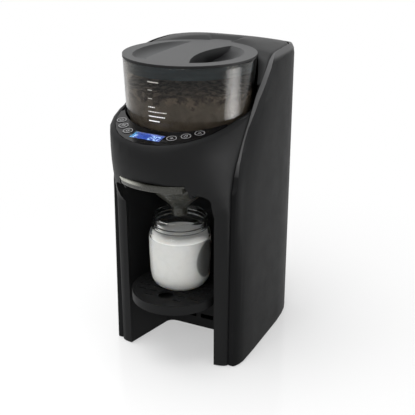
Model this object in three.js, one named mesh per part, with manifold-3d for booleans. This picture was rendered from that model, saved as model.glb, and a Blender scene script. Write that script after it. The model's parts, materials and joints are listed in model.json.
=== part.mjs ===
// Countertop formula maker: powder hopper in front, water tank behind, bottle niche below.
// Millimetres, +Z up. Inside the machine group the hopper axis is x = 0, y = 0 and the front is -Y.
import * as THREE from 'three';
import { mergeVertices } from 'three/addons/utils/BufferGeometryUtils.js';
import Module from 'manifold-3d';

const wasm = await Module();
wasm.setup();

// Fits and walls
const seatGap = 0.3;
const runningGap = 0.6;
const overrun = 4;
const wall = 3;
const thinWall = 2.2;
const footLift = 1.5;

// Side shell, wrapped round both sides and the back
const shellHalfWidth = 93.4;
const shellBack = 158.5;
const shellNoseReach = 60;
const shellWidestY = -4.5;
const shellTop = 389.5;
const shellSquareness = 5.5;
const noseSquareness = 5;
const waistSquareness = 4;
const topNoseSquareness = 2.4;
const topWidestY = 45;
const shoulderBottom = 230;
const shoulderTop = 340;
const topRound = 5.5;
const topRoundHeight = 15;
const shellWall = 3;
const shellRim = 6;
const shellRimDepth = 10;
const shellSegments = 36;

// Head and columns of the front housing
const headHalfWidth = 84;
const headFront = 122;
const headCentreY = -11;
const headSquareness = 2.1;
const columnOuterX = 79.5;
const columnFront = 60.5;
const columnCentreY = -40;
const columnSquareness = 6;
const blendBottom = 208;
const blendTop = 290;
const blendPower = 1.8;
const housingBack = 89.5;
const deckHeight = 328.5;
const deckTilt = THREE.MathUtils.degToRad(10);
const deckThickness = 4;
const rimRound = 4;

// Niche for the bottle
const nicheFrontHalf = 62;
const nicheRearHalf = 47;
const nicheCornerY = 9;
const nicheBack = 20;
const nicheCornerInset = 13;
const nicheTop = 244.5;
const nicheArchHalf = 65;
const nicheArchRadius = 14;

// Funnel bay above the niche
const baySide = 43.6;
const bayBack = -3;
const bayBottom = 238;
const bayTop = 259.2;
const bayFlareHalf = 49;
const bayFlareTop = 256;

// Powder hopper and its well
const wellRadius = 80.6;
const wellFloorTop = 305.4;
const hopperTop = 388.5;
const hopperTopRadius = 81.4;
const hopperFootRadius = 78.6;
const hopperWall = 2.5;
const lidRadius = 82;
const lidTop = 391.8;
const lidRim = 3;
const lidSkirtBottom = 374;
const lidSkirtRadius = 73.8;
const lidTabWidth = 30;
const lidTabReach = 91;
const scoopDepth = 16.6;
const scoopHalfLength = 60;
const scoopReach = 66;
const backrestRadius = 84;
const backrestFront = 12;

// Stirring and dosing
const outletReach = 31;
const outletRadius = 8;
const discThickness = 4;
const discRadius = 70;
const discPockets = 8;
const hubRadius = 9;
const hubTop = 336;
const shaftRadius = 4;
const stirrerRadius = 69;
const stirrerHeight = 5;
const stirrerBase = 314;
const gearModule = 1;
const gearTeeth = 36;
const pinionTeeth = 12;
const gearFace = 8;
const gearBottom = 291;
const motorBearing = THREE.MathUtils.degToRad(60);
const motorRadius = 16;
const motorHeight = 22;
const motorPlateBottom = 286.3;
const motorPlateThickness = 2;

// Formula powder in the hopper
const powderTop = 356;
const powderHeap = 4;

// Control panel
const fasciaThickness = 2;
const fasciaProud = 0.2;
const fasciaOuterHalf = 76;
const fasciaOuterFront = 116.5;
const panelTurn = THREE.MathUtils.degToRad(-2.9);
const displayWidth = 40;
const displayDepth = 15;
const displayReach = 98.4;
const keyRadius = 6.8;
const keyHole = 7;
const keyFlange = 7.4;
const keyAngles_deg = [17.7, 27.2, 37.2];
const keyReaches = [98.3, 93.9, 89.2];
const boardDrop = 6.9;
const boardThickness = 1.6;

// Mixing funnel
const funnelTop = 258;
const funnelAxisY = -31;
const funnelFront = 113.5;
const funnelLipBottom = 250;
const bowlRadius = 40.3;
const bowlDepth = 48;
const spoutRadius = 9.6;
const spoutBottom = 191.6;
const funnelWall = 1.8;

// Drip tray
const trayRadius = 56.5;
const trayY = -45.5;
const trayTop = 94.9;
const trayHeight = 12;
const trayRim = 2.6;
const grilleThickness = 2.5;
const drainRadius = 10.2;
const drainY = -71.1;
const lugWidth = 18;
const lugX = 13;
const lugHeight = 6;
const lugReach = 27;
const trayStep = 34;
const trayLevels = 3;

// Baby bottle
const bottleY = -31.2;
const bottleHeight = 95.3;
const bottleRadius = 40;
const bottleWall = 2;
const milk_share = 0.73;

// Water tank and its lid
const tankInset = 7;
const tankFront = 91;
const tankBottom = 231.7;
const tankTop = 374;
const tankLidInset = 6.8;
const tankLidBackInset = 9.6;
const tankLidThickness = 2.5;
const tankLidCrown = 396;
const hingeY = 134;
const hingeZ = 384;
const hingePinRadius = 1.5;
const knuckleRadius = 3;
const earDrop = 6;
const earHeight = 6;
const valveY = 122;
const valveLift = 3;

// Base and inner works
const basePlateBottom = 4.5;
const basePlateThickness = 2.5;
const baseFront = 24;
const screwHeadRadius = 3.6;
const screwShankRadius = 1.6;
const bossX = 67;
const bossFrontY = 33;
const bossRearY = 82;
const footRadius = 8;
const padRadius = 5.5;
const padThickness = 1.2;
const pumpRadius = 18;
const pumpHeight = 44;
const pumpX = 48;
const heaterRadius = 20;
const heaterHeight = 92;
const heaterX = -46;
const worksY = 120;
const hoseRadius = 3;
const seatThickness = 5;
const legSize = 12;
const legX = 70;
const legFront = 100;
const legRearX = 23;
const legRear = 143;
const inletX = 0;
const inletZ = 26;
const inletWidth = 24;
const inletHeight = 20;
const inletDepth = 21;

const { sin, cos, tan, abs, sqrt, PI, min, max, sign } = Math;
const TURN = 2 * PI;

function toSolid(geometry) {
  let g = geometry.index ? geometry.clone() : geometry;
  g.deleteAttribute('normal');
  g.deleteAttribute('uv');
  g = mergeVertices(g, 1e-4);
  const p = g.attributes.position;
  const kept = [];
  let volume = 0;
  const a = new THREE.Vector3(), b = new THREE.Vector3(), c = new THREE.Vector3();
  for (let i = 0; i < g.index.count; i += 3) {
    const [i0, i1, i2] = [0, 1, 2].map((k) => g.index.getX(i + k));
    if (i0 === i1 || i1 === i2 || i2 === i0) continue;
    kept.push(i0, i1, i2);
    a.fromBufferAttribute(p, i0);
    b.fromBufferAttribute(p, i1);
    c.fromBufferAttribute(p, i2);
    volume += a.dot(b.cross(c));
  }
  const triVerts = new Uint32Array(kept);
  if (volume < 0) {
    for (let i = 0; i < triVerts.length; i += 3) {
      [triVerts[i], triVerts[i + 1]] = [triVerts[i + 1], triVerts[i]];
    }
  }
  return new wasm.Manifold(new wasm.Mesh({
    numProp: 3, vertProperties: new Float32Array(p.array), triVerts,
  }));
}

function toGeometry(solid) {
  const mesh = solid.getMesh();
  const g = new THREE.BufferGeometry();
  g.setAttribute('position', new THREE.BufferAttribute(new Float32Array(mesh.vertProperties), 3));
  g.setIndex(new THREE.BufferAttribute(new Uint32Array(mesh.triVerts), 1));
  g.computeVertexNormals();
  return g;
}

const join = (...solids) => solids.reduce((a, b) => a.add(b));
const cut = (solid, ...tools) => tools.reduce((a, b) => a.subtract(b), solid);
const common = (...solids) => solids.reduce((a, b) => a.intersect(b));

// A closed outline of [x, y] points, raised from z0 to z1.
function prism(points, z0, z1) {
  const shape = new THREE.Shape(points.map(([x, y]) => new THREE.Vector2(x, y)));
  const g = new THREE.ExtrudeGeometry(shape, { depth: z1 - z0, bevelEnabled: false });
  return toSolid(g.translate(0, 0, z0));
}

// A closed outline of [y, z] points, drawn out from x0 to x1.
function prismAlongX(points, x0, x1) {
  const shape = new THREE.Shape(points.map(([y, z]) => new THREE.Vector2(y, z)));
  const g = new THREE.ExtrudeGeometry(shape, { depth: x1 - x0, bevelEnabled: false });
  g.applyMatrix4(new THREE.Matrix4().set(0, 0, 1, x0, 1, 0, 0, 0, 0, 1, 0, 0, 0, 0, 0, 1));
  return toSolid(g);
}

// A closed outline of [x, z] points, drawn out from y0 to y1.
function prismAlongY(points, y0, y1) {
  const shape = new THREE.Shape(points.map(([x, z]) => new THREE.Vector2(x, z)));
  const g = new THREE.ExtrudeGeometry(shape, { depth: y1 - y0, bevelEnabled: false });
  g.applyMatrix4(new THREE.Matrix4().set(1, 0, 0, 0, 0, 0, -1, y1, 0, 1, 0, 0, 0, 0, 0, 1));
  return toSolid(g);
}

// A profile of [radius, z] points turned about a vertical axis.
function turned(profile, x = 0, y = 0, segments = 20) {
  const points = profile.map(([r, z]) => new THREE.Vector2(r, z));
  const g = new THREE.LatheGeometry(points, segments);
  return toSolid(g.rotateX(PI / 2).translate(x, y, 0));
}

const disc = (radius, z0, z1, x = 0, y = 0, segments = 20) =>
  turned([[0, z0], [radius, z0], [radius, z1], [0, z1]], x, y, segments);

const ring = (inner, outer, z0, z1, x = 0, y = 0, segments = 20) =>
  turned([[inner, z0], [outer, z0], [outer, z1], [inner, z1], [inner, z0]], x, y, segments);

function box(x0, x1, y0, y1, z0, z1) {
  const g = new THREE.BoxGeometry(x1 - x0, y1 - y0, z1 - z0);
  return toSolid(g.translate((x0 + x1) / 2, (y0 + y1) / 2, (z0 + z1) / 2));
}

function rodAlongX(radius, x0, x1, y, z, segments = 16) {
  const g = new THREE.CylinderGeometry(radius, radius, x1 - x0, segments);
  return toSolid(g.rotateZ(PI / 2).translate((x0 + x1) / 2, y, z));
}

// Closed rings of [x, y, z] points, all of one length, skinned and capped flat.
function loft(rings) {
  const n = rings[0].length;
  const position = rings.flat(2);
  const index = [];
  for (let k = 0; k + 1 < rings.length; k++) {
    for (let i = 0; i < n; i++) {
      const a = k * n + i, b = k * n + (i + 1) % n;
      index.push(a, b, b + n, a, b + n, a + n);
    }
  }
  const top = (rings.length - 1) * n;
  const flat = (r) => r.map(([x, y]) => new THREE.Vector2(x, y));
  for (const [a, b, c] of THREE.ShapeUtils.triangulateShape(flat(rings[0]), [])) index.push(a, c, b);
  for (const [a, b, c] of THREE.ShapeUtils.triangulateShape(flat(rings.at(-1)), [])) {
    index.push(top + a, top + b, top + c);
  }
  const g = new THREE.BufferGeometry();
  g.setAttribute('position', new THREE.Float32BufferAttribute(position, 3));
  g.setIndex(index);
  return toSolid(g);
}

// A round tube through hand-placed points.
function hose(points, radius, steps) {
  const curve = new THREE.CatmullRomCurve3(points.map((p) => new THREE.Vector3(...p)));
  const shape = new THREE.Shape();
  shape.absarc(0, 0, radius, 0, TURN);
  const g = new THREE.ExtrudeGeometry(shape, { steps, extrudePath: curve, curveSegments: 5 });
  return toSolid(g);
}

const power = (v, p) => sign(v) * abs(v) ** p;

// Superellipse point: t runs a full turn, starting at the front.
function superPoint(t, halfX, halfY, centreY, squareness) {
  return [halfX * power(sin(t), 2 / squareness), centreY - halfY * power(cos(t), 2 / squareness)];
}

// Plan outline of the machine, drawn in by inset on the sides and backInset at the back.
function shellPlan(inset, backInset = inset, z = shellTop) {
  const rise = min(1, max(0, (z - shoulderBottom) / (shoulderTop - shoulderBottom)));
  const blend = rise * rise * (3 - 2 * rise);
  const below = min(1, z / shoulderBottom);
  const squareness = noseSquareness + (waistSquareness - noseSquareness) * below
    + (topNoseSquareness - waistSquareness) * blend;
  const widest = shellWidestY + (topWidestY - shellWidestY) * blend;
  const points = [];
  for (let i = 0; i < shellSegments; i++) {
    const t = TURN * i / shellSegments;
    const front = cos(t) > -1e-9;
    points.push(superPoint(t, shellHalfWidth - inset,
      front ? shellNoseReach + widest - shellWidestY - inset : shellBack - shellWidestY - backInset,
      front ? widest : shellWidestY, front ? squareness : shellSquareness));
  }
  return points;
}

const shellBlock = (inset, z0, z1, backInset = inset) => prism(shellPlan(inset, backInset), z0, z1);

// The shell's own surface, whose nose narrows towards the top; the outer one is rounded over there.
function shellLoft(inset, bottom, top, round = 0) {
  const rows = [[bottom, 0], [shoulderBottom, 0]];
  const bands = 4;
  for (let k = 1; k <= bands; k++) {
    rows.push([shoulderBottom + (shoulderTop - shoulderBottom) * k / bands, 0]);
  }
  if (round > 0) {
    const round_shares = [[0, 0], [0.5, 0.16], [0.8, 0.5], [1, 1]];
    for (const [up, inward] of round_shares) {
      rows.push([shellTop - topRoundHeight * (1 - up), round * inward]);
    }
  }
  rows.push([top, round]);
  return loft(rows.map(([z, inward]) =>
    shellPlan(inset + inward, inset + inward, max(0, z)).map(([x, y]) => [x, y, z])));
}

// Front edge of the side shell in side view, as shares of shellBack and shellTop.
const edge_shares = [
  [-0.3312, 0], [-0.3129, 0.5263], [-0.2946, 0.6239], [-0.2492, 0.6983], [-0.164, 0.7664],
  [-0.0726, 0.8164], [0, 0.8549], [0.0694, 0.8909], [0.1388, 0.9268], [0.2145, 0.9602],
  [0.2587, 0.9807], [0.3155, 0.9936], [0.3912, 0.9987], [0.5678, 1], [0.7571, 0.9974],
  [1, 0.9872],
];
const edgeCurve = new THREE.SplineCurve(
  edge_shares.map(([y, z]) => new THREE.Vector2(y * shellBack, z * shellTop)),
);
const edgeLine = edgeCurve.getPoints(30).map((p) => [p.x, p.y]);

// Height of the shell's edge over a depth y.
function edgeHeight(y) {
  for (let i = 1; i < edgeLine.length; i++) {
    const [y0, z0] = edgeLine[i - 1], [y1, z1] = edgeLine[i];
    if (y <= y1 && y1 > y0) return z0 + (z1 - z0) * max(0, (y - y0) / (y1 - y0));
  }
  return edgeLine.at(-1)[1];
}

// Everything behind and below the shell's edge, moved back and down by an inset.
function behindEdge(back = 0, down = 0) {
  const line = edgeLine.map(([y, z]) => [y + back, z - down]);
  const [lastY, lastZ] = line.at(-1);
  const floor = -shellRimDepth - overrun;
  return prismAlongX([
    [line[0][0], floor], ...line,
    [lastY + overrun, lastZ], [lastY + overrun, floor],
  ], -shellHalfWidth - overrun, shellHalfWidth + overrun);
}

const deckZ = (y) => deckHeight + y * tan(deckTilt);

// Everything below the tilted deck plane, less a drop measured along its normal.
function belowDeck(drop = 0, front = -2 * headFront, back = shellBack) {
  const lower = drop / cos(deckTilt);
  return prismAlongX([
    [front, -overrun], [front, deckZ(front) - lower], [back, deckZ(back) - lower], [back, -overrun],
  ], -shellHalfWidth - overrun, shellHalfWidth + overrun);
}

// Places a solid drawn flat on the deck: x stays, y runs up the slope, z is the normal.
function onDeck(geometry) {
  return geometry.rotateX(deckTilt).translate(0, 0, deckHeight);
}

const frontSteps = 16;

// Outline of the head and columns at height z, drawn in by inset.
function housingRing(z, inset = 0, back = housingBack) {
  const u = min(1, max(0, (z - blendBottom) / (blendTop - blendBottom)));
  const s = 1 - (1 - u) ** blendPower;
  const points = [];
  for (let i = 0; i <= frontSteps; i++) {
    const t = -PI / 2 + PI * i / frontSteps;
    const [cx, cy] = superPoint(
      t, columnOuterX - inset, columnFront + columnCentreY - inset, columnCentreY, columnSquareness,
    );
    const [hx, hy] = superPoint(
      t, headHalfWidth - inset, headFront + headCentreY - inset, headCentreY, headSquareness,
    );
    points.push([cx + (hx - cx) * s, cy + (hy - cy) * s, z]);
  }
  const side = points.at(-1)[0];
  points.push([side, back, z], [-side, back, z]);
  return points;
}

function housingLoft(inset, back, bottom) {
  const levels = [bottom, blendBottom];
  const bands = 5;
  for (let k = 1; k <= bands; k++) levels.push(blendBottom + (blendTop - blendBottom) * k / bands);
  levels.push(deckZ(shellBack));
  return loft(levels.map((z) => housingRing(z, inset, back)));
}

// Everything below the deck, with its top edge rounded over along the rim.
function rimRounding() {
  const round_shares = [[-4, -2], [-0.3, -1.5], [0.3, -0.6], [1.2, 0]];
  const rings = round_shares.map(([insetShare, dropShare]) =>
    housingRing(blendTop, insetShare * rimRound, 2 * shellBack)
      .map(([x, y]) => [x, y / cos(deckTilt), dropShare * rimRound]));
  return join(toSolid(onDeck(toGeometry(loft(rings)))), belowDeck(1.9 * rimRound));
}

// Plan of the niche: it narrows from the front to a rounded back.
function nichePlan(grow = 0) {
  const taper = (nicheFrontHalf - nicheRearHalf) / (nicheCornerY + columnFront);
  const ahead = 2 * headFront - columnFront;
  const half = [
    [nicheFrontHalf + taper * ahead + grow, -2 * headFront], [nicheRearHalf + grow, nicheCornerY],
  ];
  const corner = 4;
  for (let k = 1; k <= corner; k++) {
    const t = (PI / 2) * k / corner;
    half.push([
      nicheRearHalf - nicheCornerInset + (nicheCornerInset + grow) * cos(t),
      nicheCornerY + (nicheBack - nicheCornerY + grow) * sin(t),
    ]);
  }
  return [...half, ...half.map(([x, y]) => [-x, y]).reverse()];
}

// Front view of the niche: upright sides under rounded top corners.
function nicheArch(half, grow = 0) {
  const r = nicheArchRadius;
  const x = half + grow, top = nicheTop + grow;
  const points = [[-x, -overrun], [x, -overrun]];
  const steps = 5;
  for (let k = 0; k <= steps; k++) {
    const t = (PI / 2) * k / steps;
    points.push([x - r + r * cos(t), top - r + r * sin(t)]);
  }
  for (let k = steps; k >= 0; k--) {
    const t = (PI / 2) * k / steps;
    points.push([-x + r - r * cos(t), top - r + r * sin(t)]);
  }
  return points;
}

// Plan of the funnel bay: parallel sides, so that the funnel slides straight out, and a round back.
function bayPlan(grow = 0) {
  const half = [[baySide + grow, -2 * headFront]];
  const steps = 8;
  for (let k = 0; k <= steps; k++) {
    const t = (PI / 2) * k / steps;
    half.push([
      (baySide + grow) * cos(t), -baySide + (baySide + bayBack + grow) * sin(t),
    ]);
  }
  return [...half, ...half.slice(0, -1).map(([x, y]) => [-x, y]).reverse()];
}

const polar = (reach, angle) => [reach * sin(angle + panelTurn), -reach * cos(angle + panelTurn)];

const keyPlaces = [-1, 1].flatMap((side) => keyAngles_deg.map((deg, i) =>
  polar(keyReaches[i], side * THREE.MathUtils.degToRad(deg))));

const boardBossPlaces = [-51, -13.6, 11.2, 49].map((deg) =>
  polar(abs(deg) > 40 ? 88 : 91.5 - 3.4, THREE.MathUtils.degToRad(deg)));

const displayPlace = polar(displayReach, 0);

// A deck-local upright cylinder.
function deckDisc(radius, w0, w1, [x, y], segments = 14) {
  const g = new THREE.CylinderGeometry(radius, radius, w1 - w0, segments);
  return toSolid(onDeck(g.rotateX(PI / 2).translate(x, y / cos(deckTilt), (w0 + w1) / 2)));
}

// A deck-local block, centred on the display.
function deckBlock(width, depth, w0, w1) {
  const g = new THREE.BoxGeometry(width, depth, w1 - w0);
  const [x, y] = displayPlace;
  g.rotateZ(panelTurn).translate(x, y / cos(deckTilt), (w0 + w1) / 2);
  return toSolid(onDeck(g));
}

// A deck-local crescent between the hopper and the rim of the panel.
function deckCrescent(w0, w1, outerInset, innerGap) {
  const steps = 14;
  const inner = wellRadius + innerGap;
  const outerX = fasciaOuterHalf - outerInset;
  const outerY = fasciaOuterFront + headCentreY - outerInset;
  const outer = (t) => superPoint(t, outerX, outerY, headCentreY, headSquareness);
  let tip = 0;
  for (let t = 0; t < PI / 2; t += 0.005) {
    const [x, y] = outer(t);
    if (Math.hypot(x, y) > inner + 2 * thinWall) tip = t;
  }
  const front = [], rear = [];
  for (let i = 0; i <= steps; i++) front.push(outer(tip * (2 * i / steps - 1)));
  const [tipX, tipY] = front.at(-1);
  const bearing = Math.atan2(tipX, -tipY);
  for (let i = steps; i >= 0; i--) {
    const a = bearing * (2 * i / steps - 1);
    rear.push([inner * sin(a), -inner * cos(a)]);
  }
  const points = [...front, ...rear].map(([x, y]) => new THREE.Vector2(x, y / cos(deckTilt)));
  const g = new THREE.ExtrudeGeometry(new THREE.Shape(points), { depth: w1 - w0, bevelEnabled: false });
  return toSolid(onDeck(g.translate(0, 0, w0)));
}

const bossHeight = 24;
const bossPlaces = [-1, 1].flatMap((side) => [[side * bossX, bossFrontY], [side * bossX, bossRearY]]);

const plateBossPlaces = [[-24, 12], [28, 2], [-5, 34]];
const motorReach = gearModule * (gearTeeth + pinionTeeth) / 2;
const motorPlace = [motorReach * cos(motorBearing), motorReach * sin(motorBearing)];
const wellFloorBottom = wellFloorTop - wall;
const plateTop = motorPlateBottom + motorPlateThickness;
const bushingRadius = 6;
const nozzlePlace = [-24, -44];
const nozzleRadius = 4;
const chuteWall = 2;

const wellLedgeTop = wellFloorBottom - seatGap;

// Hollow of the niche under its arch.
const nicheHollow = () => common(prism(nichePlan(), -overrun, nicheTop + overrun),
  prismAlongY(nicheArch(nicheArchHalf), -2 * headFront, shellBack));

const bayHollow = () => prism(bayPlan(), 0, bayTop);

function buildHousing() {
  const outer = housingLoft(0, housingBack, footLift);
  const inner = housingLoft(wall, housingBack + overrun, -overrun);
  const cavity = common(inner, belowDeck(deckThickness));
  const frontFloor = common(outer, box(
    -shellHalfWidth, shellHalfWidth, -headFront, nicheBack + wall,
    footLift, footLift + wall,
  ));

  // Wall of the hopper's well, with the ledge that its floor lies on.
  const well = common(
    disc(wellRadius + wall, wellLedgeTop - wall, deckZ(shellBack), 0, 0, 40), belowDeck());
  const wellHole = join(
    disc(wellRadius, wellLedgeTop, 2 * shellTop, 0, 0, 40),
    disc(wellRadius - wall, 0, 2 * shellTop, 0, 0, 40),
  );
  let body = join(cut(common(outer, belowDeck(), rimRounding()), cavity), well);

  // Backrest that hugs the hopper from behind, under the tank lid.
  const restSide = shellHalfWidth - shellRim - seatGap;
  const restTop = join(
    cut(disc(backrestRadius + wall, deckHeight, shellTop, 0, 0, 40),
      box(-shellHalfWidth, shellHalfWidth, -shellBack, backrestFront, 0, 2 * shellTop)),
    box(-restSide, restSide, backrestFront, 3 * backrestFront, deckHeight - wall, shellTop),
    cut(box(-restSide, restSide, wall, housingBack, deckHeight, shellTop), behindEdge(0, 2 * wall)),
  );
  const backrest = cut(
    common(restTop, behindEdge(wall, wall + 2), shellBlock(shellRim + seatGap, 0, 2 * shellTop)),
    disc(backrestRadius, 0, 2 * shellTop, 0, 0, 40), belowDeck(deckThickness));
  body = join(cut(body, wellHole), backrest, frontFloor);

  // Bosses for the base screws and the control board.
  for (const [x, y] of bossPlaces) {
    const bottom = basePlateBottom + basePlateThickness + seatGap;
    const outerSide = sign(x) * (columnOuterX - wall / 2);
    const web = box(min(x, outerSide), max(x, outerSide), y - wall / 2, y + wall / 2,
      bottom, bottom + bossHeight);
    body = cut(join(body, disc(5, bottom, bottom + bossHeight, x, y, 16), web),
      disc(screwShankRadius + seatGap, 0, bottom + bossHeight - wall, x, y, 12));
  }
  for (const place of boardBossPlaces) {
    body = join(body, deckDisc(2.5, -boardDrop + seatGap, -deckThickness / 2, place, 10));
  }

  // Openings of the niche, the flared bay and the panel.
  const flare = prismAlongY([
    [-bayFlareHalf, nicheTop - wall], [bayFlareHalf, nicheTop - wall],
    [baySide, bayFlareTop], [-baySide, bayFlareTop],
  ], -2 * headFront, -baySide);
  return cut(body, nicheHollow(), bayHollow(), flare,
    deckCrescent(-fasciaThickness + fasciaProud - seatGap, overrun, -runningGap, -overrun),
    deckBlock(displayWidth + 2, displayDepth + 2, -boardDrop, overrun),
    ...keyPlaces.map((place) => deckDisc(keyHole, -boardDrop, overrun, place)),
    ...keyPlaces.map((place) => deckDisc(keyFlange + seatGap, -boardDrop, -deckThickness, place)));
}

// Walls of the niche and the funnel bay, set inside the front housing.
function buildNicheLiner() {
  const inside = housingLoft(wall + seatGap, housingBack, -overrun);
  const block = join(prism(nichePlan(wall), footLift + wall + seatGap, nicheTop + wall),
    prism(bayPlan(wall), bayBottom, bayTop + wall));
  const niche = cut(nicheHollow(), prism(bayPlan(wall), bayBottom, bayTop));
  const ledgeTop = funnelTop - funnelFlange - seatGap;
  const ledges = [-1, 1].map((side) => box(
    min(side * ledgeInner, side * (baySide + wall)), max(side * ledgeInner, side * (baySide + wall)),
    ledgeFront, ledgeBack, ledgeTop - wall, ledgeTop,
  ));
  const liner = common(join(cut(block, niche, bayHollow()), ...ledges), inside);
  const slots = [];
  for (let level = 0; level < trayLevels; level++) {
    const z = lugBottom - level * trayStep;
    for (const side of [-1, 1]) {
      slots.push(box(side * lugX - lugWidth / 2 - runningGap, side * lugX + lugWidth / 2 + runningGap,
        nicheBack - overrun, nicheBack + 2 * wall, z - seatGap, z + lugHeight + seatGap));
    }
  }
  return cut(liner, ...slots,
    disc(outletRadius + chuteWall + seatGap, bayTop - overrun, bayTop + 2 * wall, 0, -outletReach, 20),
    disc(nozzleRadius + seatGap, bayTop - overrun, bayTop + 2 * wall, ...nozzlePlace, 16));
}

// Floor of the hopper's well, with the chute to the funnel and the motor plate's bosses.
function buildWellFloor() {
  const floor = join(disc(wellRadius - seatGap, wellFloorBottom, wellFloorTop, 0, 0, 40),
    disc(outletRadius + chuteWall, bayTop, wellFloorTop, 0, -outletReach, 20),
    ...plateBossPlaces.map(([x, y]) => disc(4, plateTop + seatGap, wellFloorTop - wall / 2, x, y, 14)));
  return cut(floor, disc(outletRadius, bayTop - overrun, shellTop, 0, -outletReach, 20),
    disc(bushingRadius + seatGap, wellFloorBottom - overrun, shellTop, 0, 0, 24),
    ...plateBossPlaces.map(([x, y]) => disc(screwShankRadius + seatGap, 0, wellFloorBottom, x, y, 12)));
}

const funnelFlange = 2.4;
const ledgeInner = 41.3;
const ledgeFront = -98;
const ledgeBack = -24;
const lugBottom = trayTop - trayHeight + 1;

function buildShell() {
  const shellBand = cut(behindEdge(), behindEdge(shellRimDepth, shellRimDepth));
  const lowerZ = deckZ(-columnFront / 3);
  const skin = shellLoft(0, footLift, shellTop + overrun, topRound);
  const rimRing = cut(skin, shellLoft(shellRim, 0, shellTop + 2 * overrun));
  const nose = cut(common(skin, box(-shellHalfWidth, shellHalfWidth, -shellBack, 0, 0, lowerZ)),
    shellBlock(shellHalfWidth - columnOuterX + wall, 0, lowerZ + overrun));
  const sheet = cut(skin, shellLoft(shellWall, 0, 2 * shellTop));
  const full = common(join(sheet, common(join(rimRing, nose), shellBand)), behindEdge());
  const inlet = box(inletX - inletWidth / 2 - seatGap, inletX + inletWidth / 2 + seatGap,
    shellBack - inletDepth, shellBack + overrun,
    inletZ - inletHeight / 2 - seatGap, inletZ + inletHeight / 2 + seatGap);
  return cut(full, housingLoft(-seatGap, housingBack + seatGap, -overrun), inlet,
    box(-columnOuterX, columnOuterX, -shellBack, 0, -overrun, shellTop));
}

function basePlan(inset) {
  const side = columnOuterX - wall - inset;
  const rear = shellPlan(shellWall + inset).filter(([, y]) => y > housingBack + inset);
  const [rightX] = rear[0];
  return [
    [side, baseFront], [side, housingBack + inset], [rightX, housingBack + inset],
    ...rear, [-rightX, housingBack + inset], [-side, housingBack + inset], [-side, baseFront],
  ].filter(([x, y], i, all) => i === 0 || Math.hypot(x - all[i - 1][0], y - all[i - 1][1]) > seatGap);
}

const baseTop = basePlateBottom + basePlateThickness;
const standoffHeight = 7;
const boardPlaces = [[-33, 40], [33, 40], [-33, 80], [33, 80]];

function buildBasePlate() {
  let plate = prism(basePlan(seatGap), basePlateBottom, baseTop);
  for (const [x, y] of boardPlaces) plate = join(plate, disc(3, basePlateBottom, baseTop + standoffHeight, x, y, 12));
  for (const [x, y] of bossPlaces) plate = cut(plate, disc(screwShankRadius + seatGap, 0, baseTop + overrun, x, y, 12));
  return plate;
}

function buildScrew(x, y, bottom, length) {
  return turned([
    [0, bottom], [screwHeadRadius, bottom], [screwHeadRadius, bottom + 2],
    [screwShankRadius, bottom + 2], [screwShankRadius, bottom + length], [0, bottom + length],
  ], x, y, 8);
}

function buildFascia() {
  const w1 = fasciaProud, w0 = fasciaProud - fasciaThickness;
  return cut(deckCrescent(w0, w1, 0, seatGap),
    deckBlock(displayWidth + 2 * seatGap, displayDepth + 2 * seatGap, -overrun, overrun),
    ...keyPlaces.map((place) => deckDisc(keyHole, -overrun, overrun, place)));
}

function buildKey(place) {
  return join(deckDisc(keyRadius, -deckThickness - seatGap - 0.5, fasciaProud + 0.6, place),
    deckDisc(keyFlange, -deckThickness - seatGap - 1.1, -deckThickness - seatGap, place));
}

const hopperFloorBottom = wellFloorTop + seatGap;
const hopperFloorTop = hopperFloorBottom + wall;
const discBottom = hopperFloorTop + seatGap;
const discTop = discBottom + discThickness;
const hopperRadiusAt = (z) => hopperFootRadius
  + (hopperTopRadius - hopperFootRadius) * (z - hopperFloorBottom) / (hopperTop - hopperFloorBottom);

function buildHopper() {
  const cup = turned([
    [0, hopperFloorBottom], [hopperFootRadius, hopperFloorBottom], [hopperTopRadius, hopperTop],
    [hopperTopRadius - hopperWall, hopperTop], [hopperFootRadius - hopperWall, hopperFloorTop],
    [0, hopperFloorTop],
  ], 0, 0, 40);
  return cut(cup, disc(outletRadius, 0, hopperFloorTop + overrun, 0, -outletReach, 20),
    disc(bushingRadius + runningGap, 0, hopperFloorTop + overrun, 0, 0, 20));
}

const scoopGap = 1.6;
const scoopPlan_shares = { rightWaist: 0.215, leftWaist: 0.48, tip: 0.44 };

// One finger scoop: a half bowl that stops at the side of the lid's bar.
function scoop(side, grow) {
  const waist = scoopReach * (side > 0 ? scoopPlan_shares.rightWaist : scoopPlan_shares.leftWaist);
  const tip = scoopReach * scoopPlan_shares.tip;
  const half = scoopHalfLength - overrun / 2;
  const g = new THREE.SphereGeometry(1, 20, 8);
  g.rotateX(PI / 2).scale(scoopReach - waist + grow, scoopHalfLength + grow, scoopDepth + grow);
  const bowl = toSolid(g.translate(side * waist, 0, lidTop));
  const bar = [[-lidRadius, -lidRadius]];
  const steps = 10;
  for (let k = 0; k <= steps; k++) {
    const v = 2 * k / steps - 1;
    bar.push([waist + (tip - waist) * v * v - grow, half * v]);
  }
  bar.push([-lidRadius, lidRadius]);
  return cut(bowl, prism(bar.map(([x, y]) => [side * x, y]), 0, 2 * lidTop));
}

function buildHopperLid() {
  const plateBottom = lidTop - lidRim;
  const plate = disc(lidRadius, plateBottom, lidTop, 0, 0, 40);
  const skirt = ring(lidSkirtRadius - thinWall, lidSkirtRadius, lidSkirtBottom, plateBottom + wall / 2, 0, 0, 40);
  const tab = box(-lidTabWidth / 2 + 3, lidTabWidth / 2 + 3, lidRadius - 2 * wall, lidTabReach, plateBottom, lidTop);
  const below = disc(lidRadius, 0, plateBottom + wall / 2);
  const pockets = join(scoop(1, thinWall), scoop(-1, thinWall));
  return cut(join(plate, skirt, tab, common(pockets, below)), scoop(1, 0), scoop(-1, 0));
}

const lidSeal = () => ring(lidSkirtRadius + seatGap, hopperRadiusAt(lidSkirtBottom) - hopperWall - seatGap,
  lidSkirtBottom, lidTop - lidRim - seatGap, 0, 0, 40);

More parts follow.
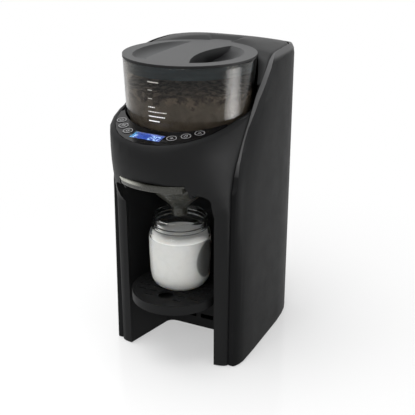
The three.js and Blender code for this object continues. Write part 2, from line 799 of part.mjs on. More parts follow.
function buildPowder() {
  const sweep = discRadius + 2 * runningGap;
  const side = (z) => hopperRadiusAt(z) - hopperWall - seatGap - 0.2;
  const overStirrer = stirrerBase + stirrerHeight + 2 * runningGap;
  const overHub = hubTop + 2 * runningGap;
  const profile = [[0, overHub], [hubRadius + runningGap, overHub], [hubRadius + runningGap, overStirrer],
    [sweep, overStirrer], [sweep, discBottom], [side(discBottom), discBottom], [side(powderTop), powderTop]];
  const steps = 4;
  for (let k = 1; k <= steps; k++) {
    const u = k / steps;
    profile.push([side(powderTop) * (1 - u), powderTop + powderHeap * sin(PI * u * 1.5) * (1 - u / 3)]);
  }
  return turned(profile, 0, 0, 28);
}

const hexHole = (radius, z0, z1) => disc(radius, z0, z1, 0, 0, 6);
const hexRadius = 4.6;
const shaftTop = 330;

function buildStirrer() {
  let wheel = join(disc(hubRadius, discBottom, hubTop, 0, 0, 24),
    ring(stirrerRadius - wall, stirrerRadius, stirrerBase, stirrerBase + stirrerHeight, 0, 0, 32));
  const arms = 4;
  for (let k = 0; k < arms; k++) {
    const g = new THREE.BoxGeometry(stirrerRadius - hubRadius / 2 - wall / 2, stirrerHeight, stirrerHeight);
    g.translate((stirrerRadius + hubRadius / 2 - wall / 2) / 2, 0, stirrerBase + stirrerHeight / 2);
    wheel = join(wheel, toSolid(g.rotateZ(TURN * k / arms + PI / arms)));
  }
  return cut(wheel, hexHole(hexRadius + seatGap, 0, shaftTop + seatGap));
}

function buildDosingDisc() {
  let plate = ring(hubRadius + seatGap, discRadius, discBottom, discTop, 0, 0, 36);
  for (let k = 0; k < discPockets; k++) {
    const a = TURN * k / discPockets - PI / 2;
    plate = cut(plate, disc(outletRadius, 0, shellTop, outletReach * cos(a), outletReach * sin(a), 12));
  }
  return plate;
}

const shaftBottom = motorPlateBottom + motorPlateThickness / 4 + seatGap;

function buildShaft() {
  return join(disc(shaftRadius, shaftBottom, hopperFloorBottom + seatGap, 0, 0, 20),
    hexHole(hexRadius, hopperFloorBottom, shaftTop));
}

// Plan of a spur gear with straight-flanked teeth.
function gearPlan(teeth, phase) {
  const pitch = gearModule * teeth / 2;
  const tipRadius = pitch + 0.9 * gearModule, rootRadius = pitch - 1.15 * gearModule;
  const tooth_shares = [[-0.25, 0], [-0.12, 1], [0.12, 1], [0.25, 0]];
  const points = [];
  for (let k = 0; k < teeth; k++) {
    for (const [share, high] of tooth_shares) {
      const a = phase + TURN * (k + share * (high ? 0.9 : 1)) / teeth;
      const r = high ? tipRadius : rootRadius;
      points.push([r * cos(a), r * sin(a)]);
    }
  }
  return points;
}

const buildGear = () => cut(
  prism(gearPlan(gearTeeth, motorBearing), gearBottom, gearBottom + gearFace),
  disc(shaftRadius + seatGap, 0, shellTop, 0, 0, 20),
);

const motorShaftRadius = 2;
const motorShaftTop = gearBottom + gearFace;

function buildPinion() {
  const [x, y] = motorPlace;
  const plan = gearPlan(pinionTeeth, motorBearing + PI + PI / pinionTeeth).map(([px, py]) => [px + x, py + y]);
  return cut(prism(plan, gearBottom, gearBottom + gearFace),
    disc(motorShaftRadius + seatGap, 0, shellTop, x, y, 14));
}

function buildMotor() {
  const [x, y] = motorPlace;
  const top = motorPlateBottom - seatGap;
  return join(disc(motorRadius, top - motorHeight, top, x, y, 32),
    disc(motorShaftRadius, top - wall, motorShaftTop, x, y, 14),
    disc(motorRadius / 2, top - motorHeight, top - motorHeight + wall, x, y, 20));
}

function buildMotorPlate() {
  const [x, y] = motorPlace;
  const margin = 6;
  const xs = plateBossPlaces.map((p) => p[0]), ys = plateBossPlaces.map((p) => p[1]);
  const plate = box(min(...xs) - margin, max(...xs) + margin, -shaftRadius - margin, max(...ys) + margin,
    motorPlateBottom, plateTop);
  return cut(plate, disc(motorShaftRadius + runningGap, 0, shellTop, x, y, 14),
    disc(shaftRadius + seatGap, motorPlateBottom + motorPlateThickness / 4, shellTop, 0, 0, 20),
    ...plateBossPlaces.map(([px, py]) => disc(screwShankRadius + seatGap, 0, shellTop, px, py, 12)));
}

const shaftBushing = () => join(
  ring(shaftRadius + seatGap, bushingRadius, gearBottom + gearFace + seatGap, wellFloorTop, 0, 0, 24),
  ring(shaftRadius + seatGap, bushingRadius + 1.6, gearBottom + gearFace + seatGap, wellFloorBottom - seatGap, 0, 0, 24),
);

// How far the points of the lip stand out to each side, from its middle to its corner and back.
const lip_shares = [0, 0.27, 0.54, 0.8, 1, 1];

// Plan of the funnel at one height: its wide pan (share 0) turns into its round bowl (share 1).
function funnelRing(z, share, radius, rear, inset) {
  const quarter = lip_shares.length - 1, steps = 4 * quarter;
  const points = [];
  for (let i = 0; i < steps; i++) {
    const t = TURN * i / steps - PI / 2;
    const side = baySide - runningGap / 2 - inset;
    const away = min(i, steps - i);
    const front = away < quarter;
    const x = side * (front ? sign(quarter * 2 - i) * lip_shares[away] : cos(t));
    const arc = headCentreY - (funnelFront + headCentreY - inset)
      * (1 - abs(x / headHalfWidth) ** headSquareness) ** (1 / headSquareness);
    const y = front ? arc : -baySide + (baySide + bayBack - runningGap - inset) * sin(t);
    const bowlX = radius * cos(t), bowlY = funnelAxisY + (front ? radius : rear) * sin(t);
    points.push([x + (bowlX - x) * share, y + (bowlY - y) * share, z]);
  }
  return points;
}

// Bowl and spout as [depth, radius, rear radius], shares of bowlDepth and bowlRadius.
const bowl_shares = [
  [0.1, 1, 0.6], [0.31, 0.98, 0.61], [0.52, 0.83, 0.66], [0.675, 0.645, 0.62], [0.85, 0.41, 0.41],
  [0.95, 0.3, 0.3], [1, 0.24, 0.24],
];

// The funnel's outer skin, or with an inset the hollow inside it.
function funnelBody(inset) {
  const panInset = baySide - runningGap / 2 - ledgeInner + seatGap + inset;
  const rings = bowl_shares.map(([down, radius, rear]) => funnelRing(
    funnelLipBottom - bowlDepth * down + inset, 1, bowlRadius * radius - inset, bowlRadius * rear - inset, inset));
  const [bottom, top] = inset > 0 ? [spoutBottom - overrun, funnelTop + overrun] : [spoutBottom, funnelTop];
  rings.push(funnelRing(bottom, 1, spoutRadius - inset, spoutRadius - inset, inset));
  rings.sort((a, b) => a[0][2] - b[0][2]);
  const body = loft([...rings, funnelRing(funnelLipBottom + inset, 0, 0, 0, panInset),
    funnelRing(top, 0, 0, 0, panInset)]);
  return common(body, prism(bayPlan(-runningGap - inset), 0, shellTop));
}

function buildFunnel() {
  const edge = (inset, z0, z1) => loft([funnelRing(z0, 0, 0, 0, inset), funnelRing(z1, 0, 0, 0, inset)]);
  const flange = edge(0, funnelTop - funnelFlange, funnelTop);
  const lipBand = common(
    cut(edge(0, funnelLipBottom, funnelTop), edge(2 * funnelWall, 0, shellTop)),
    box(-baySide, baySide, -headFront, ledgeFront - 1, 0, shellTop),
  );
  return cut(join(funnelBody(0), flange, lipBand), funnelBody(funnelWall));
}

function buildTray() {
  const bottom = trayTop - trayHeight;
  const floor = bottom + 2.5;
  const cup = cut(disc(trayRadius, bottom, trayTop, 0, trayY, 36),
    disc(trayRadius - trayRim, floor, shellTop, 0, trayY, 36));
  const ribTop = trayTop - grilleThickness - seatGap;
  const ribs = [-1, 1].map((side) => common(
    box(side * 22 - 1, side * 22 + 1, -shellBack, shellBack, floor - 1, ribTop),
    disc(trayRadius - trayRim / 2, 0, shellTop, 0, trayY, 36),
  ));
  const lugs = [-1, 1].map((side) => box(side * lugX - lugWidth / 2, side * lugX + lugWidth / 2,
    trayY + trayRadius - 6, lugReach, lugBottom, lugBottom + lugHeight));
  const cupInside = disc(trayRadius - trayRim, floor, ribTop, 0, trayY, 36);
  return join(cup, ...ribs, ...lugs.map((lug) => cut(lug, cupInside)));
}

function buildGrille() {
  const radius = trayRadius - trayRim - seatGap;
  const bottom = trayTop - grilleThickness;
  let plate = cut(disc(radius, bottom, trayTop, 0, trayY, 36),
    disc(drainRadius, 0, shellTop, 0, drainY, 24));
  const slot = 2.4, pitch = 7.2, length = 20, rows = 7;
  for (let row = 0; row < rows; row++) {
    const y = trayY - 34 + row * pitch * 1.6;
    const half = sqrt(max(0, radius ** 2 - (y - trayY) ** 2)) - 6;
    for (const side of [-1, 1]) {
      for (let start = 6; start + length / 2 < half; start += length + 5) {
        const x0 = side * start, x1 = side * min(start + length, half);
        const nearDrain = abs(y - drainY) < drainRadius + 3 && start < drainRadius + 3;
        const from = nearDrain ? side * (drainRadius + 4) : x0;
        if (abs(x1) - abs(from) < 6) continue;
        plate = cut(plate, box(min(from, x1), max(from, x1), y - slot / 2, y + slot / 2, bottom - 1, trayTop + 1));
      }
    }
  }
  return plate;
}

const bottleBase = trayTop + seatGap;
// Outside of the bottle as shares of bottleRadius and bottleHeight.
const bottle_shares = [
  [0.6, 0], [0.77, 0.022], [0.9, 0.085], [0.965, 0.18], [1, 0.5], [0.995, 0.7],
  [0.965, 0.78], [0.862, 0.835], [0.905, 0.862], [0.862, 0.888], [0.905, 0.922],
  [0.862, 0.945], [0.875, 1],
];
const bottleShoulder = 7;

function bottleProfile(inset) {
  return bottle_shares.map(([r, z]) => [
    r * bottleRadius - inset, bottleBase + inset + z * (bottleHeight - inset),
  ]);
}

// Inside of the bottle, smooth past its threads.
const bottleInside = (inset) => bottleProfile(inset)
  .filter((point, i, all) => i <= bottleShoulder || i === all.length - 1);

function buildBottle() {
  const outer = bottleProfile(0);
  const inner = bottleInside(bottleWall).reverse();
  return turned([[0, bottleBase], ...outer, ...inner, [0, bottleBase + bottleWall]], 0, bottleY, 24);
}

function buildMilk() {
  const gap = bottleWall + seatGap;
  const top = bottleBase + bottleHeight * milk_share;
  const inside = bottleInside(gap);
  const above = inside.findIndex(([, z]) => z > top);
  const [r0, z0] = inside[above - 1], [r1, z1] = inside[above];
  const r = r0 + (r1 - r0) * (top - z0) / (z1 - z0);
  return turned([[0, bottleBase + gap], ...inside.slice(0, above), [r, top], [0, top]], 0, bottleY, 24);
}

// Roof surface of the tank lid: it follows the shell's edge and rises to a crown.
function roofHeight(x, y) {
  const u = min(1, abs(x) / (shellHalfWidth - tankLidInset));
  const lengthwise = sin(PI * min(1, max(0, (y - wellRadius / 3) / (shellBack - wellRadius / 3)))) ** 0.8;
  const rise = tankLidCrown - edgeHeight(hopperTopRadius + headFront / 3);
  return edgeHeight(y) - 0.8 + rise * lengthwise * (1 - u ** 3);
}

function roofSlab() {
  const nx = 8, ny = 10;
  const x0 = -shellHalfWidth, y0 = 14, y1 = shellBack + overrun;
  const grid = (drop) => {
    const rows = [];
    for (let j = 0; j <= ny; j++) {
      for (let i = 0; i <= nx; i++) {
        const x = x0 * (1 - 2 * i / nx), y = y0 + (y1 - y0) * j / ny;
        rows.push(x, y, roofHeight(x, min(y, shellBack)) - drop);
      }
    }
    return rows;
  };
  const position = [...grid(tankLidThickness), ...grid(0)];
  const layer = (nx + 1) * (ny + 1);
  const at = (i, j, k) => k * layer + j * (nx + 1) + i;
  const index = [];
  const quad = (a, b, c, d) => index.push(a, b, c, a, c, d);
  for (let j = 0; j < ny; j++) {
    for (let i = 0; i < nx; i++) {
      quad(at(i, j, 1), at(i + 1, j, 1), at(i + 1, j + 1, 1), at(i, j + 1, 1));
      quad(at(i, j, 0), at(i, j + 1, 0), at(i + 1, j + 1, 0), at(i + 1, j, 0));
    }
  }
  for (let i = 0; i < nx; i++) {
    quad(at(i, 0, 0), at(i + 1, 0, 0), at(i + 1, 0, 1), at(i, 0, 1));
    quad(at(i + 1, ny, 0), at(i, ny, 0), at(i, ny, 1), at(i + 1, ny, 1));
  }
  for (let j = 0; j < ny; j++) {
    quad(at(0, j + 1, 0), at(0, j, 0), at(0, j, 1), at(0, j + 1, 1));
    quad(at(nx, j, 0), at(nx, j + 1, 0), at(nx, j + 1, 1), at(nx, j, 1));
  }
  const g = new THREE.BufferGeometry();
  g.setAttribute('position', new THREE.Float32BufferAttribute(position, 3));
  g.setIndex(index);
  return toSolid(g);
}

const lidKnuckle = 14;
const earX = 20;
const earWidth = 6;

function buildTankLid() {
  const notchHalf = lidTabWidth / 2 + 2;
  const plan = cut(shellBlock(tankLidInset, 0, 2 * shellTop, tankLidBackInset),
    disc(backrestRadius + 1, -overrun, 3 * shellTop, 0, 0, 40),
    box(-shellHalfWidth, shellHalfWidth, -shellBack, 20, -overrun, 3 * shellTop),
    box(3 - notchHalf, 3 + notchHalf, 0, lidTabReach + 2, -overrun, 3 * shellTop));
  const knuckles = [-1, 1].map((side) => join(
    rodAlongX(knuckleRadius, min(side * (earX - earWidth / 2 - seatGap), side * (earX - lidKnuckle)),
      max(side * (earX - earWidth / 2 - seatGap), side * (earX - lidKnuckle)), hingeY, hingeZ),
    box(min(side * (earX - earWidth / 2 - seatGap), side * (earX - lidKnuckle)),
      max(side * (earX - earWidth / 2 - seatGap), side * (earX - lidKnuckle)),
      hingeY - 1.5, hingeY + 1.5, hingeZ, roofHeight(earX, hingeY) - tankLidThickness / 2),
  ));
  return cut(join(common(roofSlab(), plan), ...knuckles),
    rodAlongX(hingePinRadius + seatGap, -shellHalfWidth, shellHalfWidth, hingeY, hingeZ));
}

const hingePin = () => rodAlongX(hingePinRadius, -earX - earWidth / 2 - 1, earX + earWidth / 2 + 1, hingeY, hingeZ);

const valveBore = 4;
const springRadius = 5;

function buildTank() {
  const front = box(-shellHalfWidth, shellHalfWidth, tankFront, 2 * shellBack, 0, 2 * shellTop);
  const outer = common(shellBlock(tankInset, tankBottom, tankTop), front);
  const inner = common(shellBlock(tankInset + thinWall, tankBottom + thinWall, 2 * shellTop),
    box(-shellHalfWidth, shellHalfWidth, tankFront + thinWall, 2 * shellBack, 0, 2 * shellTop));
  const ears = [-1, 1].map((side) => {
    const x0 = side * earX - earWidth / 2, x1 = side * earX + earWidth / 2;
    return join(rodAlongX(knuckleRadius, x0, x1, hingeY, hingeZ),
      box(x0, x1, hingeY - knuckleRadius, shellBack - tankInset - thinWall / 2,
        tankTop - earDrop - earHeight, tankTop - earDrop),
      box(x0, x1, hingeY - knuckleRadius, hingeY + knuckleRadius, tankTop - earDrop - wall, hingeZ));
  });
  const cage = ring(springRadius + 2, springRadius + 4, tankBottom + thinWall / 2, tankBottom + 22, 0, valveY, 20);
  const bridge = cut(disc(springRadius + 4, tankBottom + 20, tankBottom + 22, 0, valveY, 20),
    disc(valveStem + seatGap, 0, shellTop, 0, valveY, 14));
  const windows = box(-3, 3, valveY - 20, valveY + 20, tankBottom + thinWall + 1, tankBottom + 18);
  return cut(join(cut(outer, inner), ...ears, cut(join(cage, bridge), windows)),
    disc(valveBore, 0, tankBottom + overrun, 0, valveY, 20),
    rodAlongX(hingePinRadius + seatGap, -shellHalfWidth, shellHalfWidth, hingeY, hingeZ));
}

const valveStem = 1.6;
const valveDiscTop = tankBottom + thinWall + seatGap + 2;

function buildValve() {
  return join(disc(springRadius + 1, tankBottom + thinWall + seatGap, valveDiscTop, 0, valveY, 20),
    disc(valveStem, tankBottom - 0.2, tankBottom + 24, 0, valveY, 12));
}

function buildValveSpring() {
  const turns = 4, stepsPerTurn = 8, wire = 0.5;
  const z0 = valveDiscTop + seatGap + wire, z1 = tankBottom + 20 - valveLift - 1;
  const r = valveStem + 1.6;
  class Coil extends THREE.Curve {
    getPoint(t, target = new THREE.Vector3()) {
      const a = TURN * turns * t;
      return target.set(r * cos(a), valveY + r * sin(a), z0 + (z1 - z0) * t);
    }
  }
  const shape = new THREE.Shape();
  shape.absarc(0, 0, wire, 0, TURN);
  return toSolid(new THREE.ExtrudeGeometry(shape, {
    steps: turns * stepsPerTurn, extrudePath: new Coil(), curveSegments: 3,
  }));
}

const seatTop = tankBottom - seatGap;
const spigotRadius = 9;
const hoseStub = 12;

function buildTankSeat() {
  const front = box(-shellHalfWidth, shellHalfWidth, tankFront + 1, 2 * shellBack, 0, 2 * shellTop);
  let seat = common(shellBlock(tankInset, seatTop - seatThickness, seatTop), front);
  seat = join(seat, disc(spigotRadius, seatTop - hoseStub, seatTop - seatThickness / 2, 0, valveY, 20),
    disc(hoseRadius - 0.6, seatTop - 2 * hoseStub, seatTop - hoseStub + 1, 0, valveY, 12));
  for (const side of [-1, 1]) {
    for (const [x, y] of [[legX, legFront], [legRearX, legRear]]) {
      seat = join(seat, box(side * x - legSize / 2, side * x + legSize / 2, y - legSize / 2, y + legSize / 2,
        baseTop + seatGap, seatTop - seatThickness / 2));
    }
  }
  return cut(seat, disc(valveBore + 2, seatTop - hoseStub + 3, shellTop, 0, valveY, 16),
    disc(1.4, 0, shellTop, 0, valveY, 10));
}

const nippleRadius = hoseRadius - 0.7;
const nippleLength = 8;
const pumpBase = baseTop + seatGap;
const feedZ = pumpBase + 14;

function buildPump() {
  const top = pumpBase + pumpHeight;
  return join(disc(pumpRadius, pumpBase, top, pumpX, worksY, 20),
    ring(pumpRadius - 1, pumpRadius + 2.5, pumpBase, pumpBase + 3, pumpX, worksY, 20),
    disc(nippleRadius, top - 1, top + nippleLength, pumpX, worksY, 12),
    rodAlongX(nippleRadius, pumpX - pumpRadius - nippleLength, pumpX - pumpRadius + 2, worksY, feedZ, 12));
}

function buildHeater() {
  const top = pumpBase + heaterHeight;
  return join(disc(heaterRadius, pumpBase, top, heaterX, worksY, 20),
    ring(heaterRadius - 1, heaterRadius + 2.5, pumpBase, pumpBase + 3, heaterX, worksY, 20),
    disc(nippleRadius, top - 1, top + nippleLength, heaterX, worksY, 12),
    rodAlongX(nippleRadius, heaterX + heaterRadius - 2, heaterX + heaterRadius + nippleLength, worksY, feedZ, 12));
}

const seatOutletZ = seatTop - 2 * hoseStub;
const pumpTop = pumpBase + pumpHeight + nippleLength;
const heaterTop = pumpBase + heaterHeight + nippleLength;
const nozzleTop = bayTop + 14;

const pumpHose = () => hose([
  [0, valveY, seatOutletZ - seatGap], [0, valveY, seatOutletZ - 20], [14, valveY, 150],
  [pumpX - 6, valveY, 110], [pumpX, worksY, pumpTop + 20], [pumpX, worksY, pumpTop + seatGap],
], hoseRadius, 16);

const feedHose = () => rodAlongX(hoseRadius, heaterX + heaterRadius + nippleLength + seatGap,
  pumpX - pumpRadius - nippleLength - seatGap, worksY, feedZ, 12);

const nozzleHose = () => hose([
  [heaterX, worksY, heaterTop + seatGap], [heaterX, worksY, heaterTop + 12], [heaterX, worksY - 22, heaterTop + 30],
  [heaterX + 4, 62, 160], [heaterX + 8, 40, 205], [heaterX + 10, 30, 245], [-32, 12, 275],
  [-27, -20, 281], [nozzlePlace[0], nozzlePlace[1] + 3, 283],
  [nozzlePlace[0], nozzlePlace[1], nozzleTop + 6], [nozzlePlace[0], nozzlePlace[1], nozzleTop + seatGap],
], hoseRadius, 24);

function buildNozzle() {
  const [x, y] = nozzlePlace;
  return cut(join(disc(nozzleRadius, bayTop - 0.4, nozzleTop, x, y, 16),
    disc(nozzleRadius + 2.5, bayTop + wall + seatGap, bayTop + wall + 3, x, y, 16)),
  disc(1.4, 0, shellTop, x, y, 10));
}

function buildPowerBoard() {
  const z0 = baseTop + standoffHeight + seatGap, z1 = z0 + boardThickness;
  return join(box(-38, 38, 36, 84, z0, z1), box(-30, -6, 44, 70, z1 - 0.5, z1 + 22),
    box(2, 14, 44, 60, z1 - 0.5, z1 + 14), disc(6, z1 - 0.5, z1 + 20, 26, 52, 16),
    box(6, 34, 68, 80, z1 - 0.5, z1 + 10));
}

function buildInlet() {
  const x0 = inletX - inletWidth / 2, x1 = inletX + inletWidth / 2;
  const back = shellBack - 1.2;
  const z0 = inletZ - inletHeight / 2, z1 = inletZ + inletHeight / 2;
  const block = join(box(x0, x1, back - inletDepth, back, z0, z1),
    box(x0 + 3, x1 - 3, back - inletDepth, back - inletDepth + 8, baseTop + seatGap, z0 + 1));
  const socket = box(x0 + 3, x1 - 3, back - 14, back + overrun, z0 + 5, z1 - 5);
  const pins = [-1, 1].map((side) => {
    const g = new THREE.CylinderGeometry(1.2, 1.2, 10, 10);
    return toSolid(g.translate(inletX + side * 4.3, back - 10, inletZ));
  });
  return join(cut(block, socket), ...pins);
}

function buildBoard() {
  const board = deckCrescent(-boardDrop - boardThickness, -boardDrop, 4, 5);
  return board;
}

const colours = {
  charcoal: { color: 0x26282a, roughness: 0.42, metalness: 0 },
  shellBlack: { color: 0x303336, roughness: 0.4, metalness: 0 },
  lidGrey: { color: 0x6b6e71, roughness: 0.45, metalness: 0 },
  gloss: { color: 0x08080a, roughness: 0.12, metalness: 0 },
  clear: { color: 0x9a8f82, roughness: 0.08, metalness: 0, transparent: true, opacity: 0.4 },
  seal: { color: 0x6f8791, roughness: 0.5, metalness: 0 },
  powder: { color: 0xb39a80, roughness: 0.95, metalness: 0 },
  smoke: { color: 0x55564c, roughness: 0.2, metalness: 0, transparent: true, opacity: 0.7 },
  white: { color: 0xe8e8e6, roughness: 0.5, metalness: 0 },
  milk: { color: 0xf7f5ee, roughness: 0.35, metalness: 0 },
  glass: { color: 0xe6eef2, roughness: 0.05, metalness: 0, transparent: true, opacity: 0.35 },
  steel: { color: 0xa9acb0, roughness: 0.35, metalness: 1 },
  brass: { color: 0xb08d4a, roughness: 0.35, metalness: 1 },
  board: { color: 0x1f5a35, roughness: 0.6, metalness: 0 },
  lcd: { color: 0x4f86e8, roughness: 0.3, metalness: 0, emissive: 0x2a55d0 },
  rubber: { color: 0x1a1a1a, roughness: 0.9, metalness: 0 },
  hose: { color: 0xd9dad2, roughness: 0.4, metalness: 0 },
};

const machine = new THREE.Group();
machine.position.y = (headFront - shellBack) / 2;

function put(name, solid, colour) {
  const mesh = new THREE.Mesh(toGeometry(solid), new THREE.MeshStandardMaterial(colours[colour]));
  mesh.name = name;
  machine.add(mesh);
}

put('front_housing', buildHousing(), 'charcoal');
put('niche_liner', buildNicheLiner(), 'charcoal');
put('well_floor', buildWellFloor(), 'charcoal');
put('side_shell', buildShell(), 'shellBlack');
put('base_plate', buildBasePlate(), 'charcoal');
bossPlaces.forEach(([x, y], i) =>
  put(`base_screw_${i + 1}`, buildScrew(x, y, basePlateBottom - 2 - seatGap, 18), 'steel'));
[-1, 1].forEach((side, i) => {
  const hand = side < 0 ? 'left' : 'right';
  put(`foot_front_${hand}`, disc(padRadius, 0, padThickness, side * 71, -48, 20), 'rubber');
  put(`foot_rear_${hand}`, disc(footRadius, 0, basePlateBottom - seatGap, side * 60, 124, 20), 'rubber');
});

put('panel_fascia', buildFascia(), 'gloss');
put('display_window', deckBlock(displayWidth, displayDepth, -1.5, fasciaProud), 'glass');
put('lcd_module', deckBlock(displayWidth + 1, displayDepth + 1, -boardDrop + seatGap, -1.5 - seatGap), 'lcd');
put('control_board', buildBoard(), 'board');
keyPlaces.forEach((place, i) => put(`button_${i + 1}`, buildKey(place), 'gloss'));

put('powder_container', buildHopper(), 'clear');
put('container_lid', buildHopperLid(), 'lidGrey');
put('lid_seal', lidSeal(), 'seal');
put('formula_powder', buildPowder(), 'powder');
put('stirring_wheel', buildStirrer(), 'white');
put('dosing_disc', buildDosingDisc(), 'white');
put('drive_shaft', buildShaft(), 'steel');
put('drive_gear', buildGear(), 'white');
put('shaft_bushing', shaftBushing(), 'brass');
put('motor_pinion', buildPinion(), 'brass');
put('powder_motor', buildMotor(), 'steel');
put('motor_plate', buildMotorPlate(), 'steel');
plateBossPlaces.forEach(([x, y], i) =>
  put(`plate_screw_${i + 1}`, buildScrew(x, y, motorPlateBottom - 2 - seatGap, 12), 'steel'));

put('mixing_funnel', buildFunnel(), 'smoke');
put('drip_tray', buildTray(), 'charcoal');
put('tray_grille', buildGrille(), 'charcoal');
put('bottle', buildBottle(), 'glass');
put('milk', buildMilk(), 'milk');

put('water_tank', buildTank(), 'smoke');
put('water_tank_lid', buildTankLid(), 'charcoal');
put('lid_hinge_pin', hingePin(), 'steel');
put('tank_valve', buildValve(), 'white');
put('valve_spring', buildValveSpring(), 'steel');
put('tank_seat', buildTankSeat(), 'charcoal');
put('water_pump', buildPump(), 'steel');
put('water_heater', buildHeater(), 'steel');
put('pump_hose', pumpHose(), 'hose');
put('feed_hose', feedHose(), 'hose');
put('nozzle_hose', nozzleHose(), 'hose');
put('water_nozzle', buildNozzle(), 'white');
put('power_board', buildPowerBoard(), 'board');
put('power_inlet', buildInlet(), 'charcoal');

export default machine;
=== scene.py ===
"""A countertop formula maker dressed for its photograph.

Shapes are written in millimetres in the machine's own axes: the hopper's axis is x = 0, y = 0,
the front is -Y and +Z is up. place() turns them into metres in the shared frame. Materials measure
in metres in that frame, as object coordinates do.
"""
import json
import math

import bmesh
import bpy
import numpy as np
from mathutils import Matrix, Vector


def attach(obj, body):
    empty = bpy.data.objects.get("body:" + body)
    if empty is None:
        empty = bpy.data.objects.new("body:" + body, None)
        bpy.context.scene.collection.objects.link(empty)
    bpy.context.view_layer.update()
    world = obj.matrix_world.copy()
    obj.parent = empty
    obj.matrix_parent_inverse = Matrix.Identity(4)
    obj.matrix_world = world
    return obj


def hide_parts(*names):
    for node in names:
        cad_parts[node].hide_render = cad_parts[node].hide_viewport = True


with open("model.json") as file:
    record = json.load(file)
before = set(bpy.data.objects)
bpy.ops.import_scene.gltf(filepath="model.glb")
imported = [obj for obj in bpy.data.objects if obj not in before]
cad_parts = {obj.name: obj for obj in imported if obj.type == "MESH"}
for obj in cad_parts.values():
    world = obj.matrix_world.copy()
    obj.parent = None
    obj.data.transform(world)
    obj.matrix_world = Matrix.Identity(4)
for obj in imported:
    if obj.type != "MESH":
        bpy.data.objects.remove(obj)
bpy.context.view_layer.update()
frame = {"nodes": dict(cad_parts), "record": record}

MM = 0.001
PI = math.pi
TURN = 2 * PI


# ---------------------------------------------------------------- sizes shared with the CAD model

AXIS_Y = -18.25  # the hopper's axis in the frame
DECK_HEIGHT, DECK_TILT = 328.5, math.radians(10)
HOPPER_FOOT, HOPPER_TOP = (78.6, 305.7), (81.4, 388.5)  # radius and height
HOPPER_WALL = 2.5
SHAFT_HOLE, OUTLET_RADIUS = 6.6, 8
SPOUT_Y = -31
LID_TOP, LID_RADIUS, LID_RIM = 391.8, 82.0, 3.0
SKIRT_RADIUS, SKIRT_BOTTOM = 73.8, 374.0
POWDER_TOP, POWDER_FLOOR = 356.0, 309.2
WHEEL_ROOM, HUB_ROOM = (70.9, 320.2), (9.8, 337.2)  # radius and top of what the wheel sweeps
SHELL_REAR, SHELL_TOP = 158.5, 389.5
HINGE_Y, HINGE_Z, KNUCKLE_RADIUS = 134, 384, 3
PANEL_TURN = math.radians(-2.9)
DISPLAY_REACH = 98.4
KEYS = [(side * math.radians(deg), reach) for side in (-1, 1)
        for deg, reach in ((17.7, 98.3), (27.2, 93.9), (37.2, 89.2))]
KEY_TOP = 0.8
BOTTLE_Y, BOTTLE_BASE, BOTTLE_HEIGHT, BOTTLE_RADIUS, BOTTLE_WALL = -31.2, 95.2, 95.3, 40.0, 2.0


def hopper_radius(z):
    """Outer radius of the hopper's straight flare at a height."""
    (r0, z0), (r1, z1) = HOPPER_FOOT, HOPPER_TOP
    return r0 + (r1 - r0) * (z - z0) / (z1 - z0)


def place(points):
    """Machine millimetres to metres in the shared frame: shift along y, then scale."""
    return (np.asarray(points, float) + (0.0, AXIS_Y, 0.0)) * MM


# ---------------------------------------------------------------- camera and light

SENSOR = 36
FOCAL_PIXELS, FRAME_PIXELS = 813.29, 415  # focal length and width of the picture


def look(bearing, pitch):
    """Unit direction for a bearing turned from +Y towards -X and a pitch below the horizon."""
    a, p = math.radians(bearing), math.radians(pitch)
    return Vector((-math.sin(a) * math.cos(p), math.cos(a) * math.cos(p), -math.sin(p)))


def aimed(name, data, where, direction):
    """A camera or lamp object at a place, its -Z turned along a direction."""
    made = bpy.data.objects.new(name, data)
    made.location = where
    made.rotation_mode = "QUATERNION"
    made.rotation_quaternion = direction.to_track_quat("-Z", "Y")
    bpy.context.scene.collection.objects.link(made)
    return made


def softbox(name, where, aim, size, power, spread=PI):
    """A rectangular lamp turned to face a point, both in metres, with a beam that may be narrow."""
    lamp = bpy.data.lights.new(name, "AREA")
    lamp.shape = "RECTANGLE"
    lamp.size, lamp.size_y = size
    lamp.energy = power
    lamp.spread = spread
    aimed(name, lamp, where, Vector(aim) - Vector(where))


view = bpy.data.cameras.new("view")
view.sensor_width = SENSOR
view.lens = FOCAL_PIXELS / FRAME_PIXELS * SENSOR
bpy.context.scene.camera = aimed("view", view, (0.4528, -0.89035, 0.5864), look(26.194, 22.043))
bpy.context.scene.view_settings.view_transform = "Standard"

softbox("overhead", (-0.3, -0.3, 1.9), (0, 0, 0.2), (1.6, 1.4), 22)
softbox("front_top", (0.05, -1.4, 0.85), (0, -0.05, 0.2), (0.9, 0.6), 7)
softbox("right_low", (0.56, 0.14, 0.13), (0.07, -0.02, 0.33), (0.40, 0.30), 0.20, 0.70)
softbox("left_fill", (-1.2, -0.9, 0.8), (0, 0, 0.2), (0.8, 1.2), 1.5)


# ---------------------------------------------------------------- materials

class Value:
    """One socket of a material's nodes, so that shader sums read as plain arithmetic."""

    def __init__(self, finish, socket):
        self.finish = finish
        self.socket = socket

    def math(self, operation, *operands):
        return self.finish.node("ShaderNodeMath", {"operation": operation}, dict(enumerate(operands)))

    def __add__(self, other):
        return self.math("ADD", self, other)

    __radd__ = __add__

    def __sub__(self, other):
        return self.math("SUBTRACT", self, other)

    def __rsub__(self, other):
        return self.math("SUBTRACT", other, self)

    def __mul__(self, other):
        return self.math("MULTIPLY", self, other)

    def __truediv__(self, other):
        return self.math("DIVIDE", self, other)

    def __pow__(self, other):
        return self.math("POWER", self, other)

    def __abs__(self):
        return self.math("ABSOLUTE", self)

    def __gt__(self, other):
        return self.math("GREATER_THAN", self, other)


